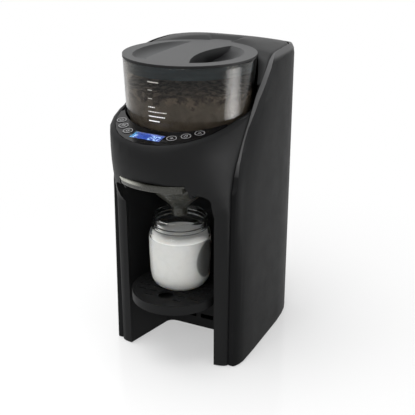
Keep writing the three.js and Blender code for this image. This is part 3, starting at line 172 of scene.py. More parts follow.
class Finish:
    """A node material in the making. node() adds any node; the rest are the patterns used here."""

    def __init__(self, name, tree=None):
        if tree is None:
            self.material = bpy.data.materials.new(name)
            self.material.use_nodes = True
            tree = self.material.node_tree
        tree.nodes.clear()
        self.tree = tree

    def node(self, kind, settings=None, sockets=None, out=0):
        """Adds a node, sets its settings first, then feeds its sockets with numbers or Values."""
        made = self.tree.nodes.new(kind)
        for key, value in (settings or {}).items():
            setattr(made, key, value)
        for key, value in (sockets or {}).items():
            if isinstance(value, Value):
                self.tree.links.new(value.socket, made.inputs[key])
            elif value is not None:
                made.inputs[key].default_value = (*value, 1) if (
                    made.inputs[key].type == "RGBA" and len(value) == 3) else value
        return Value(self, made.outputs[out]) if made.outputs else None

    def where(self, stretch):
        """Object coordinates in metres, stretched by a Mapping node."""
        spot = self.node("ShaderNodeTexCoord", out="Object")
        return self.node("ShaderNodeMapping", {"vector_type": "POINT"}, {"Vector": spot, "Scale": stretch})

    def axes(self):
        """The three object coordinates in metres, one Value each."""
        spot = self.node("ShaderNodeTexCoord", out="Object")
        split = self.node("ShaderNodeSeparateXYZ", None, {0: spot})
        return [Value(self, output) for output in split.socket.node.outputs]

    def noise(self, size, detail=2.0, roughness=0.5, distortion=0.0, stretch=(1, 1, 1)):
        """Soft noise with blobs about size millimetres across, from 0 to 1."""
        return self.node("ShaderNodeTexNoise", None, {
            "Vector": self.where(stretch), "Scale": 1000.0 / size, "Detail": detail,
            "Roughness": roughness, "Distortion": distortion})

    def cells(self, size, randomness=1.0, stretch=(1, 1, 1)):
        """Distance from the nearest of Voronoi's points, with cells about size millimetres across."""
        return self.node("ShaderNodeTexVoronoi", {"feature": "F1"}, {
            "Vector": self.where(stretch), "Scale": 1000.0 / size, "Randomness": randomness})

    def between(self, value, low, high):
        """0 at low, 1 at high, and a smooth step from one to the other; low may be the greater."""
        return self.node("ShaderNodeMapRange", {"interpolation_type": "SMOOTHSTEP"},
                         {"Value": value, "From Min": low, "From Max": high})

    def mix(self, first, second, share):
        """A colour that goes from first to second as share goes from 0 to 1."""
        return self.node("ShaderNodeMix", {"data_type": "RGBA"}, {0: share, 6: first, 7: second}, 2)

    def bump(self, height, depth, under=None):
        """Surface relief: height from 0 to 1 stands for depth millimetres."""
        return self.node("ShaderNodeBump", None, {
            "Height": height, "Distance": depth * MM, "Strength": 1.0, "Normal": under})

    def satin(self, colour, swing):
        """Satin moulded plastic: its spark-eroded grain, and its colour drifting by swing each way."""
        fine = self.noise(0.5, detail=3, roughness=0.6)
        drift = self.noise(60, detail=2)
        return fine, self.mix(tone(colour, 1 - swing), tone(colour, 1 + swing), drift * 0.6 + fine * 0.4)

    def handled(self, fine, roughness):
        """A roughness with patches polished by hands, and the grain on top."""
        patches = self.noise(24, detail=5, roughness=0.55, distortion=0.4)
        return (patches - 0.5) * 0.14 + (fine - 0.5) * 0.10 + roughness

    def surface(self, **values):
        """Ends the material in one Principled shader; names take spaces for underscores."""
        shader = self.node("ShaderNodeBsdfPrincipled", None,
                           {key.replace("_", " "): value for key, value in values.items()})
        return self.end(shader)

    def end(self, shader):
        self.node("ShaderNodeOutputMaterial", None, {"Surface": shader})
        return self.material


def tone(colour, factor):
    return tuple(min(1.0, c * factor) for c in colour)


SATIN_GRAIN = 0.03  # relief in millimetres


def moulded(name, colour, roughness, specular):
    """Satin moulded plastic: spark-eroded grain, slow drift of tone, and handled patches."""
    f = Finish(name)
    fine, base = f.satin(colour, 0.10)
    return f.surface(Base_Color=base, Roughness=f.handled(fine, roughness), Specular_IOR_Level=specular,
                     Normal=f.bump(fine, SATIN_GRAIN))


def shell_plastic(name, colour, painted_highlight):
    """The side shell's satin plastic: grained and drifting, with a painted highlight where it faces up."""
    f = Finish(name)
    fine, base = f.satin(colour, 0.10)
    normal = f.node("ShaderNodeNewGeometry", out="Normal")
    facing_up = f.node("ShaderNodeSeparateXYZ", None, {0: normal}, "Z")
    # painted highlight: the colour turns paler where the surface faces up, standing in for light catching
    # the cut edges
    return f.surface(Base_Color=f.mix(base, painted_highlight, f.between(facing_up, 0.15, 0.45)),
                     Roughness=f.handled(fine, 0.46), Specular_IOR_Level=0.055,
                     Normal=f.bump(fine, SATIN_GRAIN))


def lid_plastic(name, colour, edge):
    """The container lid's satin plastic, with painted shade on its edge and in the scoop on the right,
    and a painted highlight in the scoop on the left."""
    f = Finish(name)
    x, y, z = f.axes()
    fine, base = f.satin(colour, 0.08)
    along = y - AXIS_Y * MM
    out = (x * x + along * along) ** 0.5
    inside, below = LID_RADIUS * MM - out, LID_TOP * MM - z
    # painted shade on the rim's outer face, just under the top
    rim = f.between(inside, 0.0012, 0.0004) * f.between(below, 0.0001, 0.0005)
    # painted shade in the right-hand scoop, darker the lower it lies near the grip bar
    scoop_shade = f.between(x, 0.012, 0.016) * f.between(below, 0.0015, 0.012) * (1 - f.between(x, 0.03, 0.062))
    # painted light: the left-hand scoop is made paler
    lift = f.between(0 - x, 0.010, 0.014) * f.between(below, 0.0015, 0.010)
    base = f.mix(base, tone(colour, 1.9), lift)
    dark = f.mix(base, edge, rim)
    return f.surface(Base_Color=f.mix(dark, edge, scoop_shade * 0.9), Roughness=(fine - 0.5) * 0.1 + 0.48,
                     Specular_IOR_Level=0.16, Normal=f.bump(fine, SATIN_GRAIN))


def glossy(name, colour, roughness, specular):
    """Polished plastic with faint orange peel, dust specks and wiped smears."""
    f = Finish(name)
    peel = f.noise(5, detail=1)
    smear = f.noise(16, detail=5, distortion=1.2, stretch=(1, 0.4, 1))
    specks = f.between(f.cells(1.7), 0.10, 0.04)
    base = f.mix(colour, tone([c + 0.02 for c in colour], 3), specks * 0.35)
    return f.surface(Base_Color=base, Roughness=f.between(smear, 0.45, 0.8) * 0.10 + roughness,
                     Specular_IOR_Level=specular, Normal=f.bump(peel, 0.02))


def clear(name, colour, roughness, ior=1.45, haze=0.08):
    """Clear moulded plastic: tinted, with slight waves and a haze of fine scratches."""
    f = Finish(name)
    waves = f.noise(14, detail=1)
    scratches = f.noise(1.2, detail=4, stretch=(1, 1, 9), distortion=0.3)
    haze_map = f.between(f.noise(30, detail=3), 0.4, 0.75) * haze + f.between(scratches, 0.62, 0.8) * haze
    base = f.mix(tone(colour, 0.93), colour, f.noise(40, detail=2))
    return f.surface(Base_Color=base, Roughness=haze_map + roughness, Transmission_Weight=1.0, IOR=ior,
                     Normal=f.bump(waves, 0.02))


def rubbery(name, colour, roughness):
    """Soft rubber: fine pebbled skin with a dusty bloom."""
    f = Finish(name)
    pebble = f.cells(0.8)
    bloom = f.noise(9, detail=4)
    return f.surface(Base_Color=f.mix(colour, tone(colour, 1.6), f.between(bloom, 0.35, 0.8) * 0.7),
                     Roughness=(bloom - 0.5) * 0.15 + roughness, Specular_IOR_Level=0.3,
                     Normal=f.bump(pebble, 0.05))


def brushed(name, colour, along):
    """Drawn or brushed metal: long fine streaks along the axis that is stretched least, dull stains."""
    f = Finish(name)
    streaks = f.noise(14, detail=6, roughness=0.7, stretch=along)
    stain = f.between(f.noise(7, detail=4), 0.45, 0.8)
    return f.surface(Base_Color=f.mix(tone(colour, 0.8), colour, streaks), Metallic=1.0,
                     Roughness=(streaks - 0.5) * 0.2 + stain * 0.12 + 0.32, Normal=f.bump(streaks, 0.01))


def translucent(name, colour, rim, through):
    """Smoky plastic that lets some light through: faint flow lines, a soft haze, and a painted highlight
    on the left of the funnel's lip."""
    f = Finish(name)
    x, _, z = f.axes()
    # painted highlight: the top of the lip is made pale at the left
    lip_highlight = f.between(z, 0.2535, 0.2550) * f.between(0 - x, 0.0, 0.030)
    flow = f.noise(9, detail=3, distortion=0.8, stretch=(1, 1, 0.4))
    haze = f.noise(1.1, detail=3)
    base = f.mix(tone(colour, 0.85), tone(colour, 1.15), flow)
    return f.surface(Base_Color=f.mix(base, rim, lip_highlight),
                     Roughness=(haze - 0.5) * 0.12 + 0.28, Transmission_Weight=through, IOR=1.45,
                     Specular_IOR_Level=0.5, Normal=f.bump(flow, 0.03))


def lit(name, colour, strength):
    """A backlit or printed mark: even colour with a faint grain and some emission; on print, a painted
    glow.
    """
    f = Finish(name)
    grain = f.noise(0.6, detail=2)
    tint = f.mix(tone(colour, 0.93), colour, grain)
    return f.surface(Base_Color=tint, Emission_Color=tint, Emission_Strength=strength, Roughness=0.5)


def circuit(name):
    """Green board: copper tracks under lacquer, tinned pads on a grid, fibre weave."""
    f = Finish(name)
    tracks = f.node("ShaderNodeTexWave", {"wave_type": "BANDS", "bands_direction": "DIAGONAL"}, {
        "Vector": f.where((1, 1, 0)), "Scale": 160.0, "Distortion": 9.0, "Detail": 1.0,
        "Detail Scale": 0.4})
    track = f.between(tracks, 0.55, 0.7)
    pads = f.between(f.cells(3.2, randomness=0.35, stretch=(1, 1, 0)), 0.24, 0.18)
    weave = f.noise(0.7, detail=1, stretch=(1, 4, 1))
    lacquer = f.mix((0.008, 0.06, 0.02), (0.02, 0.15, 0.05), track * 0.8 + weave * 0.2)
    return f.surface(Base_Color=f.mix(lacquer, (0.5, 0.5, 0.48), pads), Metallic=pads,
                     Roughness=0.45 - pads * 0.15, Normal=f.bump(track + pads, 0.05))


def screen(name):
    """Backlit blue display: a glow that fades to its sides, a brighter left end, a faint dot grid."""
    f = Finish(name)
    x = f.axes()[0]
    glow = f.noise(18, detail=1)
    dots = f.cells(0.55, randomness=0.0, stretch=(1, 1, 0))
    edge = f.between(abs(x + 0.005), 0.012, 0.024)
    base = f.mix((0.025, 0.105, 0.60), (0.02, 0.06, 0.34), edge * 0.7 + glow * 0.3)
    lamp = f.mix(base, (0.04, 0.50, 0.85), f.between(0 - x, 0.0205, 0.0245))
    shown = f.mix(lamp, (0.06, 0.20, 0.80), f.between(dots, 0.5, 0.2) * 0.35)
    return f.surface(Base_Color=shown, Emission_Color=shown, Emission_Strength=0.03, Roughness=0.3)


def dry_powder(name):
    """Formula powder: beige grains and crumbs, with its top layer painted darker as shade, clumps mottled
    in.
    """
    f = Finish(name)
    z = f.axes()[2]
    grain = f.noise(0.9, detail=4, roughness=0.7)
    crumb = f.cells(3.4)
    lumps = f.noise(11, detail=4, roughness=0.6, distortion=0.5)
    # painted shade: the top of the powder is darker, standing in for the shadow under the lid; lumps make
    # its edge ragged
    shaded_top = f.between(z + lumps * 0.022 + crumb * 0.002, 0.3550, 0.3580)
    light = f.mix((0.30, 0.27, 0.235), (0.44, 0.405, 0.355), f.between(lumps, 0.3, 0.7))
    light = f.mix(light, (0.62, 0.58, 0.50), f.between(grain, 0.58, 0.78) * 0.3)
    clump = f.between(f.noise(7, detail=4, roughness=0.6), 0.42, 0.62)
    # the painted shade colour, mottled by clumps and crumbs
    dark = f.mix((0.045, 0.036, 0.030), (0.50, 0.44, 0.38),
                 clump * 0.8 + f.between(crumb, 0.15, 0.6) * 0.2)
    return f.surface(Base_Color=f.mix(light, dark, shaded_top), Roughness=0.96, Specular_IOR_Level=0.1,
                     Normal=f.bump(grain * 0.4 + lumps * 0.6, 1.6, under=f.bump(crumb, 0.5)))


def fluid(name, colour):
    """Milky liquid: nearly even white with thin streaks, a painted glow at the front of its top edge, and
    painted shade behind the bottle's two grips: a lens 1 - up^2 - along^2 on each side."""
    f = Finish(name)
    x, y, z = f.axes()
    swirl = f.noise(13, detail=3, distortion=1.5)
    base = f.mix(colour, tone(colour, 0.93), f.between(swirl, 0.4, 0.7) * 0.6)
    across = y - (BOTTLE_Y + AXIS_Y) * MM
    up, along = (z - 0.137) / 0.027, across / 0.020
    lens = 1 - up * up - along * along
    # painted shade: the milk is made grey behind each grip
    base = f.mix(base, (0.27, 0.27, 0.26), f.between(lens, 0.0, 0.25) * (abs(x) > 0.02))
    out = (x * x + across * across) ** 0.5
    # painted glow: the top edge at the front emits, standing in for light running up the glass
    edge = (f.between(z, 0.1632, 0.1640) * f.between(out, 0.018, 0.036)
            * f.between(0 - across, -0.010, 0.016))
    return f.surface(Base_Color=base, Emission_Color=f.mix((0, 0, 0), colour, edge),
                     Emission_Strength=0.5, Roughness=0.28, Subsurface_Weight=0.8,
                     Subsurface_Radius=(1.0, 0.92, 0.8), Subsurface_Scale=0.014)


BODY = moulded("body_satin", (0.0088, 0.0090, 0.0093), 0.5, 0.09)
# the last colour is the painted highlight on faces turned up
SHELL = shell_plastic("shell_satin", (0.0062, 0.0064, 0.0067), (0.105, 0.105, 0.106))
# the last colour is the painted shade on the lid's rim and in its right-hand scoop
LID = lid_plastic("lid_satin", (0.062, 0.063, 0.064), (0.006, 0.006, 0.0065))
TANK_LID = moulded("tank_lid_satin", (0.021, 0.0214, 0.0218), 0.48, 0.16)
PANEL = glossy("panel_gloss", (0.0025, 0.0025, 0.003), 0.08, 0.25)
KEY = glossy("key_gloss", (0.004, 0.004, 0.005), 0.14, 0.3)
WINDOW = clear("window_clear", (0.92, 0.95, 1.0), 0.02, haze=0.03)
LCD = screen("lcd_blue")
BOARD = circuit("board_green")
SMOKE = clear("container_smoke", (0.38, 0.355, 0.32), 0.05, ior=1.29)
SEAL = rubbery("seal_blue_grey", (0.052, 0.100, 0.145), 0.6)
POWDER = dry_powder("powder_beige")
WHITE = moulded("white_plastic", (0.72, 0.72, 0.70), 0.5, 0.4)
STEEL = brushed("steel", (0.55, 0.56, 0.58), (1, 40, 40))
BRASS = brushed("brass", (0.60, 0.42, 0.16), (1, 1, 30))
# (0.42, 0.42, 0.37) is the colour of the painted highlight on the lip
FUNNEL = translucent("funnel_smoke", (0.028, 0.028, 0.022), (0.42, 0.42, 0.37), 0.15)
BOTTLE = clear("bottle_clear", (0.94, 0.95, 0.95), 0.07, ior=1.24)
MILK = fluid("milk_white", (0.78, 0.775, 0.75))
TANK = clear("tank_smoke", (0.55, 0.58, 0.60), 0.06)
RUBBER = rubbery("rubber_black", (0.008, 0.008, 0.008), 0.85)
HOSE = clear("hose_clear", (0.85, 0.85, 0.80), 0.3)
# the print emits at strength 0.3: a painted glow, since ink gives no light
PRINT = lit("white_print", (0.9, 0.9, 0.9), 0.3)
RING = lit("key_ring_print", (0.55, 0.55, 0.56), 0.0)
LIT = lit("lit_segment", (0.55, 0.80, 1.0), 1.0)

FINISHES = {
    "body_charcoal": BODY, "shell_charcoal": SHELL, "lid_grey": LID, "panel_gloss": PANEL,
    "key_gloss": KEY, "window_clear": WINDOW, "lcd_blue": LCD, "board_green": BOARD,
    "container_smoke": SMOKE, "seal_blue_grey": SEAL, "powder_beige": POWDER, "white_plastic": WHITE,
    "steel": STEEL, "brass": BRASS, "funnel_smoke": FUNNEL, "bottle_clear": BOTTLE,
    "milk_white": MILK, "tank_smoke": TANK, "rubber_black": RUBBER, "hose_clear": HOSE,
}
SLOT_OF = {part["node"]: part["material_slot"] for part in frame["record"]["subparts"]}
BODY_OF = {node: body for body, nodes in frame["record"]["behaviour"]["bodies"].items() for node in nodes}


def give(piece, finish):
    piece.data.materials.clear()
    piece.data.materials.append(finish)


for node_name, node in frame["nodes"].items():
    give(node, FINISHES[SLOT_OF[node_name]])


# ---------------------------------------------------------------- making surfaces

def lattice(rows, cols, wrap_rows=False, wrap_cols=False):
    """Quads that join a rows by cols lattice of points, closed round where wrapped."""
    i, j = np.meshgrid(np.arange(rows - (not wrap_rows)), np.arange(cols - (not wrap_cols)), indexing="ij")
    i, j = i.ravel(), j.ravel()
    up, on = (i + 1) % rows, (j + 1) % cols
    return np.stack([i * cols + j, i * cols + on, up * cols + on, up * cols + j], 1)


def shade(mesh, crease):
    """Smooth shading up to a crease angle in degrees."""
    mesh.polygons.foreach_set("use_smooth", np.ones(len(mesh.polygons), bool))
    mesh.set_sharp_from_angle(angle=math.radians(crease))


def new_object(name, points, faces, crease):
    """An object from millimetre points and lists of faces: doubled points merged, flat faces dropped,
    faces turned outwards, shaded smooth up to the crease angle."""
    mesh = bpy.data.meshes.new(name)
    mesh.from_pydata(place(points).tolist(), [], [list(map(int, face)) for face in faces])
    work = bmesh.new()
    work.from_mesh(mesh)
    bmesh.ops.remove_doubles(work, verts=work.verts, dist=2e-6)
    bmesh.ops.dissolve_degenerate(work, edges=work.edges, dist=1e-6)
    bmesh.ops.recalc_face_normals(work, faces=work.faces)
    work.to_mesh(mesh)
    work.free()
    shade(mesh, crease)
    mesh.update()
    made = bpy.data.objects.new(name, mesh)
    bpy.context.scene.collection.objects.link(made)
    return made


def piece(name, points, faces, finish, body, slot, stands_for=(), crease=35):
    """A new piece of the machine, riding on a body."""
    made = new_object(name, points, faces, crease)
    give(made, finish)
    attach(made, body)
    if stands_for:
        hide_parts(*stands_for)
    return made


def merged(node_name, crease):
    """A copy of a CAD node with its loose triangles merged, so that its curves shade smoothly."""
    source = frame["nodes"][node_name].data
    spots = np.empty(len(source.vertices) * 3, np.float32)
    source.vertices.foreach_get("co", spots)
    corners = np.empty(len(source.loops), np.int32)
    source.loops.foreach_get("vertex_index", corners)
    spots = spots.reshape(-1, 3)
    _, first, back = np.unique(np.round(spots * 1e6).astype(np.int64), axis=0,
                               return_index=True, return_inverse=True)
    triangles = back.ravel()[corners].reshape(-1, 3)
    distinct = (triangles[:, 0] != triangles[:, 1]) & (triangles[:, 1] != triangles[:, 2]) & (
        triangles[:, 2] != triangles[:, 0])
    mesh = bpy.data.meshes.new(node_name + "_skin")
    mesh.from_pydata(spots[first].tolist(), [], triangles[distinct].tolist())
    shade(mesh, crease)
    made = bpy.data.objects.new(node_name + "_skin", mesh)
    bpy.context.scene.collection.objects.link(made)
    give(made, FINISHES[SLOT_OF[node_name]])
    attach(made, BODY_OF[node_name])
    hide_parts(node_name)
    return made


def softened(profile, radii):
    """A closed profile of 2-D points with each corner swapped for a short quadratic curve.

    Each curve starts and ends radius away from its corner, or a third of the side if that is less."""
    points = np.asarray(profile, float)
    t = np.linspace(0, 1, 5)[:, None]
    out = []
    for i, here in enumerate(points):
        back, on = points[i - 1] - here, points[(i + 1) % len(points)] - here
        far_back, far_on = np.linalg.norm(back), np.linalg.norm(on)
        reach = min(radii[i], far_back / 3, far_on / 3)
        a, b = here + back / far_back * reach, here + on / far_on * reach
        out.append((1 - t) ** 2 * a + 2 * t * (1 - t) * here + t * t * b)
    return np.concatenate(out)


def spun(profile, segments, centre=(0.0, 0.0)):
    """A closed profile of (radius, z) turned about an upright axis: x = r sin a, y = -r cos a."""
    profile = np.asarray(profile, float)
    angle = np.linspace(0, TURN, segments, endpoint=False)
    r, z = profile[:, :1], profile[:, 1:]
    points = np.stack(np.broadcast_arrays(
        centre[0] + r * np.sin(angle), centre[1] - r * np.cos(angle), z), -1)
    return points.reshape(-1, 3), lattice(len(profile), segments, wrap_rows=True, wrap_cols=True)


def prism(plan, z0, z1):
    """A closed plan outline raised from z0 to z1 and capped flat."""
    plan = np.asarray(plan, float)
    count = len(plan)
    low = np.column_stack([plan, np.full(count, float(z0))])
    high = np.column_stack([plan, np.full(count, float(z1))])
    faces = lattice(2, count, wrap_cols=True).tolist()
    return np.concatenate([low, high]), faces + [list(range(count))[::-1], list(range(count, 2 * count))]


def cutter(points, faces):
    """A bare closed object for shaping others; shaped() removes it once it is used."""
    return new_object("cutter", points, faces, 30)


def shaped(target, operation, tool, crease=30):
    """Joins, cuts or keeps what target shares with tool, and shades the result again."""
    change = target.modifiers.new("shape", "BOOLEAN")
    change.operation, change.object, change.solver = operation, tool, "EXACT"
    bpy.context.view_layer.update()
    ready = target.evaluated_get(bpy.context.evaluated_depsgraph_get())
    mesh = bpy.data.meshes.new_from_object(ready)
    target.modifiers.clear()
    old = target.data
    target.data = mesh
    bpy.data.meshes.remove(old)
    bpy.data.objects.remove(tool)
    shade(mesh, crease)


def power(value, exponent):
    """Power that keeps its sign."""
    return np.sign(value) * np.abs(value) ** exponent


def rectangle(x0, x1, y0, y1):
    """The four corners of a plan rectangle."""
    return [[x0, y0], [x1, y0], [x1, y1], [x0, y1]]


def circle(radius, steps, centre=(0, 0), start=0.0, sweep=TURN):
    """Points on an arc; a full circle leaves out its last, doubled point."""
    a = start + np.linspace(0, sweep, steps, endpoint=sweep != TURN)
    return np.column_stack([centre[0] + radius * np.cos(a), centre[1] + radius * np.sin(a)])


def smooth_line(points, count):
    """Catmull-Rom curve through points, evenly stepped in its parameter."""
    points = np.asarray(points, float)
    padded = np.concatenate([2 * points[:1] - points[1:2], points, 2 * points[-1:] - points[-2:-1]])
    u = np.linspace(0, len(points) - 1, count)
    k = np.minimum(u.astype(int), len(points) - 2)
    t = (u - k)[:, None]
    a, b, c, d = (padded[k + i] for i in range(4))
    return 0.5 * (2 * b + (c - a) * t + (2 * a - 5 * b + 4 * c - d) * t ** 2
                  + (3 * b - a - 3 * c + d) * t ** 3)


# ---------------------------------------------------------------- floor and backdrop

FLOOR_HALF, FLOOR_POINTS = 6, 13


def seen_rays(f):
    """1 for camera, glossy and transmitted rays, which see the white room, and 0 for the rest."""
    outputs = f.node("ShaderNodeLightPath").socket.node.outputs
    rays = [Value(f, outputs[f"Is {kind} Ray"]) for kind in ("Camera", "Glossy", "Transmission")]
    return rays[0].math("MAXIMUM", rays[0].math("MAXIMUM", rays[0], rays[1]), rays[2])


def backdrop():
    """A pale floor under a white room; mirrors and glass see the same white."""
    f = Finish("floor")
    glance = f.node("ShaderNodeFresnel", None, {"IOR": 1.5})
    paint = f.mix((0.93, 0.93, 0.93), (0.95, 0.95, 0.95), f.noise(300, detail=1))
    diffuse = f.node("ShaderNodeBsdfDiffuse", None, {"Color": paint})
    sheen = f.node("ShaderNodeBsdfAnisotropic", None, {"Color": (0.9, 0.9, 0.9), "Roughness": 0.11})
    lying = f.node("ShaderNodeMixShader", None, {0: glance * 0.9, 1: diffuse, 2: sheen})
    x, y, _ = f.axes()
    away = f.between((x * x + y * y) ** 0.5, 0.10, 0.62)
    paper = f.node("ShaderNodeEmission", None, {"Color": (1, 1, 1), "Strength": 1.0})
    f.end(f.node("ShaderNodeMixShader", None, {
        0: seen_rays(f) * (away * 0.60 + 0.40), 1: lying, 2: paper}))
    steps = np.linspace(-FLOOR_HALF, FLOOR_HALF, FLOOR_POINTS)
    x, y = np.meshgrid(steps, steps, indexing="ij")
    points = np.stack([x, y, np.zeros_like(x)], -1).reshape(-1, 3)
    mesh = bpy.data.meshes.new("floor")
    mesh.from_pydata(points.tolist(), [], lattice(FLOOR_POINTS, FLOOR_POINTS)[:, ::-1].tolist())
    mesh.materials.append(f.material)
    floor = bpy.data.objects.new("floor", mesh)
    bpy.context.scene.collection.objects.link(floor)
    room = bpy.data.worlds.new("room")
    room.use_nodes = True
    bpy.context.scene.world = room
    f = Finish("room", room.node_tree)
    light = f.node("ShaderNodeBackground", None, {
        "Color": (1, 1, 1), "Strength": 0.55 + seen_rays(f) * 0.45})
    f.node("ShaderNodeOutputWorld", None, {"Surface": light})


backdrop()


# ---------------------------------------------------------------- smooth copies of CAD nodes

CREASES = {"front_housing": 34, "niche_liner": 34, "well_floor": 40, "side_shell": 34, "panel_fascia": 25}
CREASES |= dict.fromkeys(("drip_tray", "tray_grille", "water_tank", "tank_seat", "base_plate"), 40)
CREASES |= {f"button_{key}": 40 for key in range(1, 7)}
for node_name, crease in CREASES.items():
    merged(node_name, crease)


# ---------------------------------------------------------------- hopper, seal and powder

def make_hopper():
    """The container: a turned wall with a beaded rim and a stepped foot, drilled for shaft and outlet."""
    (r0, z0), (r1, z1) = HOPPER_FOOT, HOPPER_TOP
    profile = softened([
        [SHAFT_HOLE, z0], [r0, z0], [r1, z1 - 4], [r1, z1], [r1 - HOPPER_WALL, z1],
        [r0 - HOPPER_WALL, z0 + 3], [SHAFT_HOLE, z0 + 3],
    ], [0.4, 1.4, 0.2, 0.8, 0.8, 1.6, 0.4])
    made = piece("hopper_glass", *spun(profile, 160), SMOKE, "powder_container_body",
                 "container_smoke", ["powder_container"])
    outlet = [[0, 300], [OUTLET_RADIUS, 300], [OUTLET_RADIUS, 312], [0, 312]]
    shaped(made, "DIFFERENCE", cutter(*spun(outlet, 40, (0, SPOUT_Y))))


def make_seal():
    """The lid's soft ring: three ribs bear on the hopper wall, r = wall - gap + rib sin^2."""
    inner = SKIRT_RADIUS + 0.3
    z = np.linspace(SKIRT_BOTTOM, LID_TOP - LID_RIM - 0.3, 40)
    wall = hopper_radius(z) - HOPPER_WALL
    outer = np.minimum(wall - 0.9 + 0.6 * np.sin(np.linspace(0, 3 * PI, 40)) ** 2, wall - 0.3)
    profile = np.concatenate([np.column_stack([outer, z]), [[inner, z[-1]], [inner, z[0]]]])
    piece("seal_ring", *spun(profile, 140), SEAL, "container_lid_body", "seal_blue_grey",
          ["lid_seal"], crease=50)


def ripple(a, r, seed):
    """Sum of a few fixed waves round the axis and outwards, for heaped powder."""
    return sum(np.sin(a * (k * 2 + seed) + k * 1.7 + seed) * np.cos(r * 0.035 * k + seed * k) / k
               for k in range(1, 7))


def make_powder():
    """Powder in the hopper: z = top + low heap + ripples + a bank against the glass at the front
    left, a side wall just off the glass, and room for the wheel underneath."""
    segments, rings = 150, 44
    angle = np.linspace(0, TURN, segments, endpoint=False)[None]
    off_glass = HOPPER_WALL + 0.5
    edge = hopper_radius(POWDER_TOP) - off_glass
    r = edge * np.sin(np.linspace(0.0, 1.0, rings)[:, None] * PI / 2)
    bank = np.exp(-(np.angle(np.exp(1j * (angle + 0.75))) / 0.5) ** 2) * (r / edge) ** 4
    top = (POWDER_TOP - 3 + 4.5 * np.sin(PI * (1 - r / edge) * 0.9) + 1.6 * ripple(angle, r, 1)
           + 1.1 * ripple(angle * 2.0, r * 3, 4) + 7.0 * bank)
    z = top[-1:] + (POWDER_FLOOR - top[-1:]) * np.linspace(0, 1, 12)[1:, None]
    under = np.array([(WHEEL_ROOM[0], POWDER_FLOOR), WHEEL_ROOM, (HUB_ROOM[0], WHEEL_ROOM[1]),
                      HUB_ROOM, (0.0, HUB_ROOM[1])])
    points = np.concatenate([
        np.stack(np.broadcast_arrays(out * np.sin(angle), -out * np.cos(angle), height), -1)
        for out, height in ((r, top), (hopper_radius(z) - off_glass, z), (under[:, :1], under[:, 1:]))])
    piece("powder_heap", points.reshape(-1, 3), lattice(len(points), segments, wrap_cols=True), POWDER,
          "powder_container_body", "powder_beige", ["formula_powder"], crease=60)


make_hopper()
make_seal()
make_powder()


# ---------------------------------------------------------------- funnel

# Share of the bowl's depth, and its radius at the front and at the rear as shares of the full radius.
BOWL_LINE = np.array([[0.1, 1, 0.6], [0.31, 0.98, 0.61], [0.52, 0.83, 0.66], [0.675, 0.645, 0.62],
                      [0.85, 0.41, 0.41], [0.95, 0.3, 0.3], [1, 0.24, 0.24]])
BOWL_RADIUS, BOWL_DEPTH, BOWL_WALL = 40.3, 48, 1.8
BOWL_TOP, BOWL_TOP_INSIDE = 250, 251.8
SPOUT_RADIUS, SPOUT_END, SPOUT_ROUND = 9.8, 191.6, 0.4
PAN_HALF_WIDTH, PAN_BEND_Y, PAN_REAR = 43.3, -43.6, 40.0
PAN_TOP, LIP_FOOT = 258, 255.6
FRONT_Y, FRONT_REACH, FRONT_HALF_WIDTH, FRONT_POWER = -11, 102.5, 84, 2.1
QUARTER = np.linspace(0, PI / 2, 21)
STRAIGHT = np.linspace(0, 1, 9)[1:]
REAR_QUARTER = np.linspace(0, PI / 2, 25)[1:]


def mirrored(half, z):
    """A closed ring at one height from its right half, which runs from the front to the rear."""
    loop = np.concatenate([half, half[-2:0:-1] * [-1, 1]])
    return np.column_stack([loop, np.full(len(loop), float(z))])


def pan_row(z, inset, front):
    """One ring of the pan: a superellipse arc in front, y = c - (b - front) (1 - (x / a)^n)^(1 / n),
    straight sides, and half an ellipse at the rear, all drawn in by inset."""
    side = PAN_HALF_WIDTH - inset

    def arc(x):
        return FRONT_Y - (FRONT_REACH - front) * (1 - (x / FRONT_HALF_WIDTH) ** FRONT_POWER) ** (
            1 / FRONT_POWER)

    return mirrored(np.concatenate([
        np.column_stack([side * np.sin(QUARTER), arc(side * np.sin(QUARTER))]),
        np.column_stack([np.full(8, side), arc(side) + (PAN_BEND_Y - arc(side)) * STRAIGHT]),
        np.column_stack([side * np.cos(REAR_QUARTER),
                         PAN_BEND_Y + (PAN_REAR - inset) * np.sin(REAR_QUARTER)])]), z)


def bowl_row(z, radius, rear):
    """One ring of the bowl or spout: half a circle in front and half an ellipse at the rear, with as
    many points in each part as the pan's ring has."""
    turn = np.concatenate([np.linspace(-PI / 2, -PI / 10, 21), -PI / 10 * (1 - STRAIGHT), REAR_QUARTER])
    return mirrored(np.column_stack([
        radius * np.cos(turn), SPOUT_Y + np.where(turn < 0, radius, rear) * np.sin(turn)]), z)


